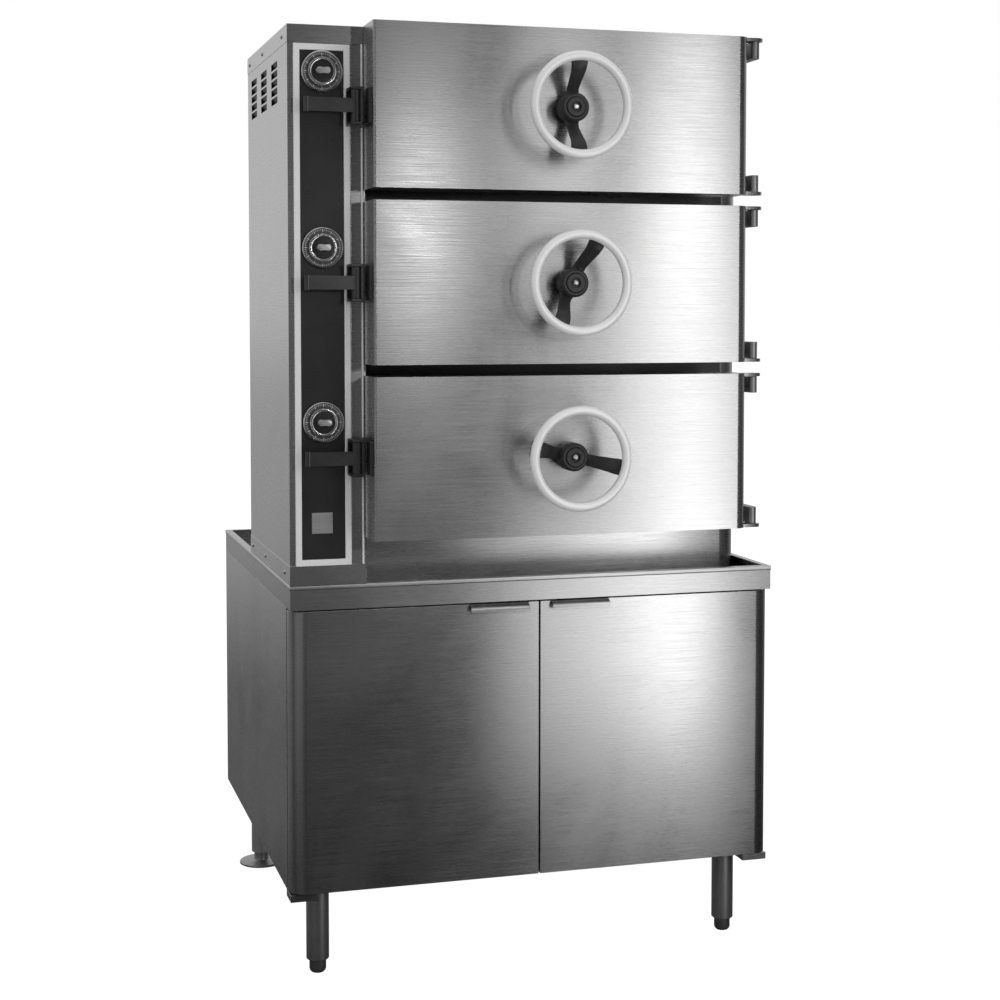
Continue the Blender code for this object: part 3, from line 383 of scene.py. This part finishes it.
def coated(name, tone, roughness, metallic=0.0, grain_scale=260.0, bump_strength=0.10, variation=0.25):
    """Paint, enamel, plating, cast finish or rubber: a mottled tone over a fine uneven surface."""
    material, tree, shader = start_material(name)
    place = node(tree, "ShaderNodeTexCoord").outputs["Object"]
    fine = noise(tree, place, grain_scale, 3.0)
    broad = noise(tree, place, MOTTLE_SCALE, 4.0, MOTTLE_WARP)
    shade = spread(tree, broad, tone * (1 - variation), tone * (1 + variation))
    shader.inputs["Metallic"].default_value = metallic
    rough = spread(tree, broad, roughness - MOTTLE_ROUGHNESS, roughness + MOTTLE_ROUGHNESS)
    finish_material(tree, shader, shade, rough, fine, bump_strength)
    return material


STEEL_ACROSS = brushed("stainless_across", 0.60, 0.25, (9, 9, 1300), across=(0, 0, 1))
STEEL_UPRIGHT = brushed("stainless_upright", 0.58, 0.25, (9, 9, 1300), across=(0, 0, 1))
STEEL_TRAY = brushed("stainless_tray", 0.55, 0.26, (9, 9, 1300))
STEEL_INSIDE = brushed("plain_steel_inside", 0.45, 0.42, (40, 40, 40), 0.14)
STEEL_GREY = brushed("grey_steel_forged", 0.22, 0.48, (60, 60, 60), 0.18, 0.15, 0.08)
CHROME = brushed("bright_chrome", 0.86, 0.16, (30, 30, 30), 0.05, 0.02, 0.06)
RIM_PLATE = coated("satin_plating", 0.92, 0.40, 0.30, 300.0, 0.03, 0.03)
LEG_STEEL = brushed("leg_stainless", 0.86, 0.34, (9, 9, 1300))
SATIN = brushed("satin_metal", 0.80, 0.36, (20, 20, 500), 0.08)
ENAMEL = coated("black_enamel", 0.020, 0.30, 0.0, 420.0, 0.05)
CAST = coated("black_casting", 0.040, 0.34, 0.3, 260.0, 0.30)
LATCH_STEEL = coated("dull_latch_steel", 0.11, 0.34, 0.9, 300.0, 0.08)
RUBBER = coated("seal_rubber", 0.030, 0.75, 0.0, 500.0, 0.15)
WHITE_MARK = coated("dial_mark", 0.70, 0.45, 0.0, 300.0, 0.05, 0.06)
DIAL_FACE = coated("dial_face", 0.10, 0.35, 0.6, 300.0, 0.05)


# Mesh helpers

def loft(loops, closed=False):
    """Skins loops of equal length; the ends are capped, or joined when the loft is closed."""
    mesh = bmesh.new()
    rings = [[mesh.verts.new(point) for point in loop] for loop in loops]
    pairs = list(zip(rings, rings[1:]))
    if closed:
        pairs.append((rings[-1], rings[0]))
    else:
        mesh.faces.new(rings[0])
        mesh.faces.new(rings[-1])
    for near, far in pairs:
        for index in range(len(near)):
            after = (index + 1) % len(near)
            mesh.faces.new((near[index], near[after], far[after], far[index]))
    return mesh


def rectangle(box, z):
    """Corners of a level rectangle, given as left, right, near and far."""
    left, right, near, far = box
    return [(left, near, z), (right, near, z), (right, far, z), (left, far, z)]


def block(x, y, z):
    """A box between two values on each axis."""
    return loft([rectangle((*x, *y), height) for height in z])


def turned(profile, centre, axis, segments=FINE, closed=False):
    """A solid turned about the y or z axis: the profile gives radius and place along it, end to end."""
    loops = []
    for radius, along in profile:
        loop = []
        for index in range(segments):
            angle = math.tau * index / segments
            across = centre[0] + radius * math.cos(angle)
            up = centre[1] + radius * math.sin(angle)
            loop.append((across, along, up) if axis == "y" else (across, up, along))
        loops.append(loop)
    return loft(loops, closed)


def shifted(outline, radius, along):
    """Moves an outline by a radius and a place along its axis."""
    return [(radius + out, along + step) for out, step in outline]


def joined(*meshes):
    """Puts several bmeshes into one."""
    whole = bmesh.new()
    for mesh in meshes:
        data = bpy.data.meshes.new("part")
        mesh.to_mesh(data)
        mesh.free()
        whole.from_mesh(data)
        bpy.data.meshes.remove(data)
    return whole


def even(start, end, count):
    """Evenly spaced values, both ends among them."""
    return [start + (end - start) * step / (count - 1) for step in range(count)]


def piece(name, mesh, material, body, edge=0.0, steps=2, replaced=()):
    """Makes a shown piece of a bmesh: smooth shading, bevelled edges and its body."""
    bmesh.ops.recalc_face_normals(mesh, faces=mesh.faces)
    data = bpy.data.meshes.new(name)
    mesh.to_mesh(data)
    mesh.free()
    data.shade_smooth()
    data.set_sharp_from_angle(angle=math.radians(SMOOTH_ANGLE))
    data.materials.append(material)
    item = bpy.data.objects.new(name, data)
    bpy.context.scene.collection.objects.link(item)
    if edge > 0:
        bevel = item.modifiers.new("Edges", "BEVEL")
        bevel.width = edge
        bevel.segments = steps
        bevel.limit_method = "ANGLE"
        bevel.angle_limit = math.radians(SMOOTH_ANGLE)
        bevel.use_clamp_overlap = True
        flat = item.modifiers.new("Flat faces", "WEIGHTED_NORMAL")
        flat.keep_sharp = True
        flat.weight = 100
    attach(item, body)
    if replaced:
        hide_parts(*replaced)
    return item


def dress(source, name, material, edge=0.0, steps=2):
    """Shows a solid again with clean faces and rounded edges, in place of the plain one."""
    mesh = bmesh.new()
    mesh.from_mesh(NODES[source].data)
    bmesh.ops.remove_doubles(mesh, verts=mesh.verts, dist=MERGE_DISTANCE)
    bmesh.ops.dissolve_limit(mesh, angle_limit=math.radians(FLAT_ANGLE), verts=mesh.verts, edges=mesh.edges)
    return piece(name, mesh, material, BODY_OF[source], edge, steps, (source,))


def finish_node(source, material):
    """Gives a kept solid its finish."""
    for place in NODES[source].material_slots:
        place.material = material


def screw_heads(name, places, radius):
    """Button-headed screws with a socket; each place is a point and the way the head faces."""
    heads = []
    for point, facing in places:
        loops = []
        for share, rise in SCREW_RINGS:
            reach = radius * share
            up = radius * SCREW_HEIGHT * rise
            angles = [math.tau * step / COARSE for step in range(COARSE)]
            loops.append([(reach * math.cos(angle), reach * math.sin(angle), up) for angle in angles])
        head = loft(loops)
        turn = Vector((0, 0, 1)).rotation_difference(Vector(facing)).to_matrix().to_4x4()
        bmesh.ops.transform(head, matrix=Matrix.Translation(point) @ turn, verts=head.verts)
        heads.append(head)
    return piece(name, joined(*heads), SATIN, "body")


# Legs, cabinet and tray

def legs():
    """Fine leg tubes with collars, and feet: bullets in front, flanges behind."""
    for row in ("front", "rear"):
        for side in SIDES:
            source = f"leg_{row}_{side}"
            low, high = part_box(source)
            centre = ((low.x + high.x) / 2, (low.y + high.y) / 2)
            radius = (high.x - low.x) / 2
            collar = high.z - COLLAR_HEIGHT
            tube = [(radius * LEG_BORE, low.z), (radius - LEG_CHAMFER, low.z), (radius, low.z + LEG_CHAMFER),
                    (radius, collar - COLLAR_SLOPE), (radius + COLLAR_PROUD, collar),
                    (radius + COLLAR_PROUD, high.z), (radius * LEG_TOP, high.z)]
            piece(f"leg_tube_{row}_{side}", turned(tube, centre, "z"), LEG_STEEL, "body",
                  replaced=(source,))
            source = f"foot_{row}_{side}"
            foot_low, foot_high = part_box(source)
            flange = (foot_high.x - foot_low.x) / 2
            tips = {"front": shifted(BULLET_TIP, 0.0, 0.0),
                    "rear": shifted(FLANGE_EDGE, flange, 0.0) + shifted(FLANGE_NECK, 0.0, 0.0)}
            shoulder = low.z - FOOT_GAP
            stem = [(FOOT_RADIUS, shoulder - FOOT_CHAMFER), (FOOT_RADIUS - FOOT_CHAMFER, shoulder),
                    (STEM_RADIUS, shoulder), (STEM_RADIUS, foot_high.z - FOOT_CHAMFER),
                    (STEM_RADIUS - FOOT_CHAMFER, foot_high.z)]
            piece(f"foot_shape_{row}_{side}", turned(tips[row] + stem, centre, "z", MEDIUM), STEEL_INSIDE,
                  BODY_OF[source], replaced=(source,))


def base():
    """Cabinet shell, its doors with finger pulls, and screws at the back."""
    dress("base_cabinet", "cabinet_shell", STEEL_UPRIGHT, THIN_EDGE)
    for side in SIDES:
        dress(f"base_door_{side}", f"cabinet_door_{side}", STEEL_UPRIGHT, THIN_EDGE, 3)
    low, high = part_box("base_cabinet")
    rows = even(low.z + CABINET_SCREW_END, high.z - CABINET_SCREW_END, CABINET_SCREW_ROWS)
    sides = (low.x + CABINET_SCREW_SIDE, high.x - CABINET_SCREW_SIDE)
    screw_heads("cabinet_back_screws", [((x, high.y, z), (0, 1, 0)) for z in rows for x in sides],
                CABINET_SCREW)


def tray():
    """Drip tray with a rolled hem along the top of its rim."""
    dress("drip_tray", "tray_pan", STEEL_TRAY, THIN_EDGE)
    low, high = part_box("drip_tray")
    half = HEM_HEIGHT / 2
    profile = []
    for degrees in even(-90, 90, HEM_STEPS + 1):
        angle = math.radians(degrees)
        profile.append((HEM_PROUD * math.cos(angle), high.z - half + half * math.sin(angle)))
    profile += [(-HEM_SINK, high.z), (-HEM_SINK, high.z - HEM_HEIGHT)]
    loops = [rectangle((low.x - out, high.x + out, low.y - out, high.y + out), z) for out, z in profile]
    piece("tray_hem", loft(loops, closed=True), SATIN, "body")


# Control column

def column_bands(low, high):
    """Cap and foot band of the column, which show its seams."""
    outer = (low.x - BAND_PROUD, high.x + BAND_PROUD / 4, low.y - BAND_PROUD, high.y + BAND_PROUD)
    inner = (low.x + BAND_PROUD, high.x - BAND_PROUD, low.y + BAND_PROUD * 3, high.y - BAND_PROUD)
    cap = loft([rectangle(outer, high.z - CAP_HEIGHT), rectangle(outer, high.z + BAND_PROUD)])
    piece("column_cap", cap, STEEL_ACROSS, "body", BAND_EDGE)
    top = low.z + FOOT_BAND_HEIGHT
    band = loft([rectangle(inner, low.z), rectangle(outer, low.z), rectangle(outer, top), rectangle(inner, top)],
                closed=True)
    piece("column_foot_band", band, STEEL_ACROSS, "body", BAND_EDGE)


def louvres(low, high):
    """Blades behind the column's louvre openings."""
    panel_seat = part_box("panel_frame")[1].y
    inside = low.x + BLADE_INSET
    reach = LOUVRE_WIDTH / 2 + BLADE_OVERLAP
    blades = []
    for stack in range(LOUVRE_COLUMNS):
        y = panel_seat + LOUVRE_FIRST_DEPTH + LOUVRE_COLUMN_PITCH * stack
        for row in range(LOUVRE_ROWS):
            z = high.z - LOUVRE_TOP_DROP - LOUVRE_ROW_PITCH * row
            outline = shifted(BLADE_OUTLINE, inside, z)
            blades.append(loft([[(a, depth, b) for a, b in outline] for depth in (y - reach, y + reach)]))
    piece("louvre_blades", joined(*blades), STEEL_GREY, "body")


def column_screws(low, high):
    """Screws of the column's cap and foot band, and along its back."""
    places = []
    side = low.x - BAND_PROUD
    for y in [low.y + step for step in COLUMN_SIDE_SCREWS] + [high.y - COLUMN_REAR_SCREW]:
        places.append(((side, y, high.z - CAP_HEIGHT / 2), (-1, 0, 0)))
        places.append(((side, y, low.z + FOOT_BAND_HEIGHT / 2), (-1, 0, 0)))
    for z in even(high.z - COLUMN_BACK_END, low.z + COLUMN_BACK_END, 3):
        for x in (low.x + COLUMN_BACK_SIDE, high.x - COLUMN_BACK_SIDE):
            places.append(((x, high.y, z), (0, 1, 0)))
    screw_heads("column_screws", places, COLUMN_SCREW)


def jamb_highlight_bead(low, high):
    """Half-round bead along the jamb, broken at the latch brackets; its pale plating paints a highlight line
    that shows even in the door's shadow.
    """
    spans = [low.z + FOOT_BAND_HEIGHT]
    for name in reversed(LEVEL_NAMES):
        latch_low, latch_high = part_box(f"latch_bracket_{name}")
        spans += [latch_low.z - BEAD_END_GAP, latch_high.z + BEAD_END_GAP]
    spans.append(high.z - CAP_HEIGHT)
    edge = high.x - JAMB_WIDTH
    half = BEAD_WIDTH / 2
    outline = [(edge, low.y + THIN_EDGE)]
    for angle in even(math.pi, 0.0, BEAD_STEPS + 1):
        outline.append((edge + half + half * math.cos(angle), low.y - BEAD_PROUD * math.sin(angle)))
    outline.append((edge + BEAD_WIDTH, low.y + THIN_EDGE))
    beads = [loft([[(x, y, z) for x, y in outline] for z in span]) for span in zip(spans[::2], spans[1::2])]
    # pale plating on the bead is a painted highlight line, on top of the real light its round face catches
    piece("jamb_highlight_bead", joined(*beads), RIM_PLATE, "body")


def column():
    """Control column with its bands, louvre blades, screws and the jamb bead that carries a painted highlight.
    """
    dress("control_column", "column_shell", STEEL_UPRIGHT, THIN_EDGE)
    low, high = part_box("control_column")
    column_bands(low, high)
    louvres(low, high)
    column_screws(low, high)
    jamb_highlight_bead(low, high)


# Casing, panel and doors

def casing_cap(low, high):
    """Cap of the casing, which follows its rounded front corner."""
    points = [(high.x + BAND_PROUD, high.y + BAND_PROUD), (low.x, high.y + BAND_PROUD),
              (low.x, low.y + CASING_FRONT_GAP)]
    reach = CASING_CORNER + BAND_PROUD
    for degrees in even(270, 360, CORNER_STEPS + 1):
        angle = math.radians(degrees)
        points.append((high.x - CASING_CORNER + reach * math.cos(angle),
                       low.y + CASING_CORNER + reach * math.sin(angle)))
    cap = loft([[(a, b, z) for a, b in points] for z in (high.z - CAP_HEIGHT, high.z + BAND_PROUD)])
    piece("casing_cap", cap, STEEL_ACROSS, "body", BAND_EDGE)


def painted_gap_shade(low, high):
    """Black strips of painted shade on the casing's front, standing for the deep shade behind the gaps between
    the doors.
    """
    strips = []
    for upper, lower in zip(LEVEL_NAMES, LEVEL_NAMES[1:]):
        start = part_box(f"door_casing_{lower}")[1].z
        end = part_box(f"door_casing_{upper}")[0].z
        # black enamel strips paint the shade that fills the deep gaps between the doors
        strips.append(block((low.x + GAP_SHADE_EDGE, high.x - CASING_CORNER),
                            (low.y - GAP_SHADE_PROUD, low.y + GAP_SHADE_PROUD),
                            (start - GAP_SHADE_OVERLAP, end + GAP_SHADE_OVERLAP)))
    piece("painted_gap_shade", joined(*strips), ENAMEL, "body")


def casing():
    """Body casing with its cap, the black strips of painted shade in the door gaps, and screws along its back
    and top.
    """
    dress("body_casing", "casing_shell", STEEL_ACROSS, THIN_EDGE)
    low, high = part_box("body_casing")
    casing_cap(low, high)
    painted_gap_shade(low, high)
    places = []
    for z in even(low.z + CASING_BACK_END, high.z - CASING_BACK_END, CASING_BACK_ROWS):
        for x in (low.x + CASING_BACK_SIDE, high.x - CASING_BACK_SIDE):
            places.append(((x, high.y, z), (0, 1, 0)))
    for x in even(low.x + CASING_TOP_END, high.x - CASING_TOP_END, CASING_TOP_ROWS):
        for y in (low.y + CASING_TOP_FRONT, high.y - CASING_TOP_REAR):
            places.append(((x, y, high.z + BAND_PROUD), (0, 0, 1)))
    screw_heads("casing_screws", places, CASING_SCREW)


def panel():
    """Black panel in its bright frame, and the bare square plate near its foot."""
    dress("panel_frame", "panel_trim", RIM_PLATE, FRAME_EDGE, 3)
    dress("control_panel", "panel_plate", ENAMEL, THIN_EDGE)
    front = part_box("control_panel")[0].y
    x, z = PLATE_CENTRE
    half = PLATE_SIZE / 2
    plate = block((x - half, x + half), (front - PLATE_THICKNESS, front + PLATE_SINK), (z - half, z + half))
    piece("bare_plate", plate, SATIN, "body", PLATE_EDGE, 3)


def door(name):
    """Steamer door's casing, its strongback and its hinge bracket."""
    dress(f"door_casing_{name}", f"door_pan_{name}", STEEL_ACROSS, DOOR_EDGE, 3)
    dress(f"cross_arm_{name}", f"strongback_{name}", STEEL_GREY, CAST_EDGE)
    dress(f"hinge_bracket_{name}", f"hinge_strap_{name}", STEEL_INSIDE, THIN_EDGE)


def latch(name):
    """Door latch: its bracket, and the arm with its rolled handle."""
    dress(f"latch_bracket_{name}", f"latch_yoke_{name}", LATCH_STEEL, LATCH_EDGE)
    dress(f"latch_arm_{name}", f"latch_lever_{name}", LATCH_STEEL, LATCH_EDGE, 3)


# Handwheels

def spoke_section(half):
    """Section of a spoke: depth from its face, and place across, with the ridge in front."""
    side = [(SPOKE_THICKNESS, half - SPOKE_CHAMFER), (SPOKE_THICKNESS - SPOKE_CHAMFER, half),
            (SPOKE_SIDE, half), (SPOKE_SHOULDER, half - SHOULDER_WIDTH),
            (-SPOKE_RIDGE * RIDGE_FOOT_RISE, half * RIDGE_FOOT_WIDTH), (-SPOKE_RIDGE, RIDGE_HALF)]
    return [(depth, -across) for depth, across in side] + side[::-1]


def spoke(root, seat, rim_end):
    """One spoke along X, which rises in a smooth curve from its root at the hub to its seat at the rim."""
    loops = []
    for reach in SPOKE_REACHES + (rim_end,):
        share = min(1.0, max(0.0, (reach - SPOKE_START) / (SPOKE_END - SPOKE_START)))
        ease = share * share * (3 - 2 * share)
        width = SPOKE_HUB_WIDTH + (SPOKE_RIM_WIDTH - SPOKE_HUB_WIDTH) * share ** WIDENING
        width += SPOKE_FLARE * max(0.0, FLARE_REACH - reach) / FLARE_LENGTH
        y = root + (seat - root) * ease
        section = spoke_section(width / 2)
        if reach > SPOKE_FLAT_END:
            section = [(max(depth, 0.0), across) for depth, across in section]
        loops.append([(reach, y + depth, across) for depth, across in section])
    return loft(loops)


def wheel(name):
    """Handwheel: bright rim, black hub and two ridged spokes."""
    rim = f"wheel_rim_{name}"
    spider = f"wheel_spider_{name}"
    low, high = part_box(rim)
    centre = (low + high) / 2
    middle = (centre.x, centre.z)
    ring = (high.x - low.x) / 2 - RIM_TUBE_RADIUS
    body = BODY_OF[rim]
    profile = []
    for step in range(COARSE):
        angle = math.tau * step / COARSE
        profile.append((RIM_TUBE_RADIUS * math.sin(angle), RIM_TUBE_RADIUS * math.cos(angle)))
    tube = shifted(profile, ring, centre.y)
    piece(f"rim_tube_{name}", turned(tube, middle, "y", FINEST, True), RIM_PLATE, body,
          replaced=(rim,))
    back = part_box(spider)[1].y
    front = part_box(f"wheel_screw_{name}")[0].y + HUB_SINK
    hub = ([(HUB_BORE, back)] + shifted(HUB_BACK_EDGE, HUB_RADIUS, back)
           + shifted(HUB_FRONT_EDGE, HUB_RADIUS, front) + shifted(HUB_STEP_EDGE, HUB_STEP_RADIUS, front)
           + shifted(HUB_RECESS, 0.0, front))
    parts = [turned(hub, middle, "y", MEDIUM, True)]
    seat = centre.y + RIM_TUBE_RADIUS + RIM_CLEARANCE
    for turn in (0, 180):
        arm = spoke((back + front) / 2, seat, ring + RIM_TUBE_RADIUS / 2)
        angle = math.radians(WHEEL_ANGLES[name] + turn)
        spin = Matrix.Translation((centre.x, 0, centre.z)) @ Matrix.Rotation(-angle, 4, "Y")
        bmesh.ops.transform(arm, matrix=spin, verts=arm.verts)
        parts.append(arm)
    piece(f"hub_and_spokes_{name}", joined(*parts), CAST, body, replaced=(spider,))
    finish_node(f"wheel_screw_{name}", CHROME)


# Timers

def minute_scale(x, z, face, inner):
    """Plain minute marks just inside the bezel, every fifth one longer and wider."""
    marks = []
    for tick in range(TICKS):
        long = tick % LONG_TICK_EVERY == 0
        reach = (inner - (LONG_TICK_INNER if long else TICK_INNER), inner - TICK_OUTER)
        half = TICK_WIDTH / 2 * (LONG_TICK_WIDTH if long else 1.0)
        mark = block((-half, half), (face - TICK_THICKNESS, face + TICK_SINK), reach)
        spin = Matrix.Translation((x, 0, z)) @ Matrix.Rotation(math.tau * tick / TICKS, 4, "Y")
        bmesh.ops.transform(mark, matrix=spin, verts=mark.verts)
        marks.append(mark)
    return joined(*marks)


def timer(name):
    """Timer: dial with bezel, plain minute scale, and the knob."""
    source = f"timer_dial_{name}"
    low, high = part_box(source)
    x = (low.x + high.x) / 2
    z = (low.z + high.z) / 2
    radius = (high.x - low.x) / 2
    inner = radius - BEZEL_WIDTH
    back = high.y
    front = low.y
    face = front + FACE_DROP
    disc = [(DIAL_BORE, back), (inner, back), (inner, face), (DIAL_BORE, face)]
    piece(f"dial_disc_{name}", turned(disc, (x, z), "y", FINE, True), DIAL_FACE, "body",
          replaced=(source,))
    bezel = ([(inner, back), (radius - EDGE_CHAMFER, back), (radius, back - EDGE_CHAMFER)]
             + shifted(BEZEL_OUTER, radius, front) + shifted(BEZEL_INNER, inner, front))
    piece(f"dial_bezel_{name}", turned(bezel, (x, z), "y", FINE, True), CHROME, "body")
    piece(f"dial_marks_{name}", minute_scale(x, z, face, inner), WHITE_MARK, "body")
    knob(name, x, z, face)


def grip_outline():
    """Outline of the knob's grip: two lobes with a waist between them."""
    outline = []
    for step in range(FINE):
        angle = math.tau * step / FINE
        across = math.cos(angle)
        offset = GRIP_LOBE_OFFSET if across > 0 else -GRIP_LOBE_OFFSET
        waist = 1.0 - GRIP_WAIST * math.exp(-((across / GRIP_WAIST_WIDTH) ** 2))
        outline.append((offset * min(1.0, abs(across) * GRIP_PULL) + GRIP_LOBE_RADIUS * across,
                        GRIP_LOBE_RADIUS * math.sin(angle) * waist))
    return outline


def knob(name, x, z, face):
    """Timer knob with its ring, its face and its grip, riding on its own body."""
    source = f"timer_knob_{name}"
    body = BODY_OF[source]
    low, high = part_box(source)
    radius = (high.x - low.x) / 2
    inner = radius - KNOB_RING_WIDTH
    seat = face - KNOB_SINK
    outer = seat - KNOB_RING_HEIGHT
    ring = ([(inner, seat), (radius - EDGE_CHAMFER, seat), (radius, seat - EDGE_CHAMFER)]
            + shifted(KNOB_OUTER, radius, outer) + shifted(KNOB_INNER, inner, outer))
    piece(f"knob_ring_{name}", turned(ring, (x, z), "y", FINE, True), CHROME, body,
          replaced=(source,))
    side = inner - KNOB_FACE_GAP
    recess = [(KNOB_BORE, high.y), (KNOB_BORE, seat), (side, seat), (side, outer + KNOB_FACE_DROP),
              (KNOB_FACE_RADIUS, outer + KNOB_FACE_RISE)]
    piece(f"knob_face_{name}", turned(recess, (x, z), "y"), ENAMEL, body)
    levels = [(1.0, outer + GRIP_SINK)] + shifted(GRIP_TOP, 0.0, seat - GRIP_HEIGHT)
    outline = grip_outline()
    grip = loft([[(x + a * share, y, z + b * share) for a, b in outline] for share, y in levels])
    piece(f"knob_grip_{name}", grip, SATIN, body)


# Inside

def inside():
    """Finishes of the solids inside that keep their meshes, and the boiler and its riser, smooth."""
    for name in LEVEL_NAMES:
        finish_node(f"compartment_{name}", STEEL_INSIDE)
        finish_node(f"pan_rack_{name}", STEEL_INSIDE)
        finish_node(f"gasket_{name}", RUBBER)
        finish_node(f"inner_door_{name}", STEEL_INSIDE)
    dress("boiler", "boiler_tank", STEEL_INSIDE)
    dress("steam_riser", "riser_pipe", STEEL_INSIDE)


# Floor, room, lamps and camera

def rays(tree, *kinds):
    """1 for the kinds of ray that are named, and 0 for the others."""
    path = node(tree, "ShaderNodeLightPath")
    total = path.outputs[kinds[0]]
    for kind in kinds[1:]:
        total = calc(tree, "MAXIMUM", total, path.outputs[kind])
    return total


def floor():
    """Pale floor that goes on to the horizon, keeps the shadow and is dim in reflections."""
    data = bpy.data.meshes.new("floor")
    corners = rectangle((-FLOOR_REACH, FLOOR_REACH, -FLOOR_REACH, FLOOR_REACH), 0)
    data.from_pydata(corners, [], [(0, 1, 2, 3)])
    item = bpy.data.objects.new("floor", data)
    bpy.context.scene.collection.objects.link(item)
    material = bpy.data.materials.new("pale_floor")
    material.use_nodes = True
    tree = material.node_tree
    tree.nodes.clear()
    place = node(tree, "ShaderNodeNewGeometry").outputs["Position"]
    parts = node(tree, "ShaderNodeSeparateXYZ", {"Vector": place})
    depth = parts.outputs["Y"]
    near = ramp(tree, depth, *FLOOR_NEAR)
    far = ramp(tree, depth, *FLOOR_FAR)
    ahead = ramp(tree, depth, *FLOOR_AHEAD)
    left = calc(tree, "MULTIPLY", ramp(tree, parts.outputs["X"], *FLOOR_LEFT),
                ramp(tree, depth, *FLOOR_FRONT_ONLY))
    level = calc(tree, "ADD", calc(tree, "ADD", near, far), calc(tree, "ADD", ahead, left))
    matt = node(tree, "ShaderNodeBsdfDiffuse", {"Color": FLOOR_GREY}).outputs["BSDF"]
    white = node(tree, "ShaderNodeEmission", {"Color": WHITE, "Strength": FLOOR_WHITE}).outputs["Emission"]
    dim = node(tree, "ShaderNodeEmission", {"Color": WHITE, "Strength": level}).outputs["Emission"]
    shown = node(tree, "ShaderNodeMixShader", {0: FLOOR_WHITE_SHARE, 1: matt, 2: white}).outputs["Shader"]
    glossy = rays(tree, "Is Glossy Ray")
    other = node(tree, "ShaderNodeMixShader", {0: glossy, 1: matt, 2: dim}).outputs["Shader"]
    seen = rays(tree, "Is Camera Ray", "Is Transmission Ray")
    both = node(tree, "ShaderNodeMixShader", {0: seen, 1: other, 2: shown}).outputs["Shader"]
    node(tree, "ShaderNodeOutputMaterial", {"Surface": both})
    data.materials.append(material)


def room():
    """White background, a dim room in front for reflections, and a soft even light."""
    made = bpy.data.worlds.new("studio")
    bpy.context.scene.world = made
    made.use_nodes = True
    tree = made.node_tree
    tree.nodes.clear()
    way = node(tree, "ShaderNodeTexCoord").outputs["Generated"]
    parts = node(tree, "ShaderNodeSeparateXYZ", {"Vector": way})
    back = ramp(tree, parts.outputs["Y"], *ROOM_BACK)
    sky = ramp(tree, parts.outputs["Z"], *ROOM_SKY)
    left = calc(tree, "MULTIPLY", ramp(tree, parts.outputs["X"], *ROOM_LEFT),
                ramp(tree, parts.outputs["Y"], *ROOM_FRONT_ONLY))
    reflected = calc(tree, "MAXIMUM", calc(tree, "MAXIMUM", back, sky), left)
    glossy = rays(tree, "Is Glossy Ray")
    soft = node(tree, "ShaderNodeMix", {"Factor": glossy, "A": ROOM_LIGHT, "B": reflected}).outputs["Result"]
    seen = rays(tree, "Is Camera Ray", "Is Transmission Ray")
    level = node(tree, "ShaderNodeMix", {"Factor": seen, "A": soft, "B": 1.0}).outputs["Result"]
    light = node(tree, "ShaderNodeBackground", {"Color": WHITE, "Strength": level}).outputs["Background"]
    node(tree, "ShaderNodeOutputWorld", {"Surface": light})


def lamp(name, place, target, size, power):
    """A rectangular area lamp aimed at a point."""
    data = bpy.data.lights.new(name, "AREA")
    data.shape = "RECTANGLE"
    data.size, data.size_y = size
    data.energy = power
    item = bpy.data.objects.new(name, data)
    item.location = place
    item.rotation_euler = (Vector(target) - Vector(place)).to_track_quat("-Z", "Y").to_euler()
    item.visible_camera = False
    bpy.context.scene.collection.objects.link(item)


def lamps():
    """The key lamp, and upright strips at the front right whose reflections run down the doors."""
    lamp("key", KEY_PLACE, KEY_TARGET, KEY_SIZE, KEY_POWER)
    for height, row in STRIP_POWERS.items():
        for x, power in row.items():
            target = (x - STRIP_TURN, FRONT_PLANE, height)
            lamp(f"strip_{x}_{height}", (x, STRIP_PLANE, height), target, STRIP_SIZE, power)


def camera():
    """The photograph's view."""
    data = bpy.data.cameras.new("camera")
    data.lens = CAMERA_LENS
    data.sensor_width = SENSOR
    data.shift_y = CAMERA_SHIFT
    item = bpy.data.objects.new("camera", data)
    item.location = CAMERA_PLACE
    item.rotation_euler = (math.radians(90 - CAMERA_PITCH), 0, math.radians(-CAMERA_YAW))
    bpy.context.scene.collection.objects.link(item)
    bpy.context.scene.camera = item


camera()
legs()
base()
tray()
column()
casing()
panel()
for level_name in LEVEL_NAMES:
    door(level_name)
    wheel(level_name)
    latch(level_name)
    timer(level_name)
inside()
floor()
room()
lamps()
bpy.context.scene.view_settings.view_transform = "Standard"
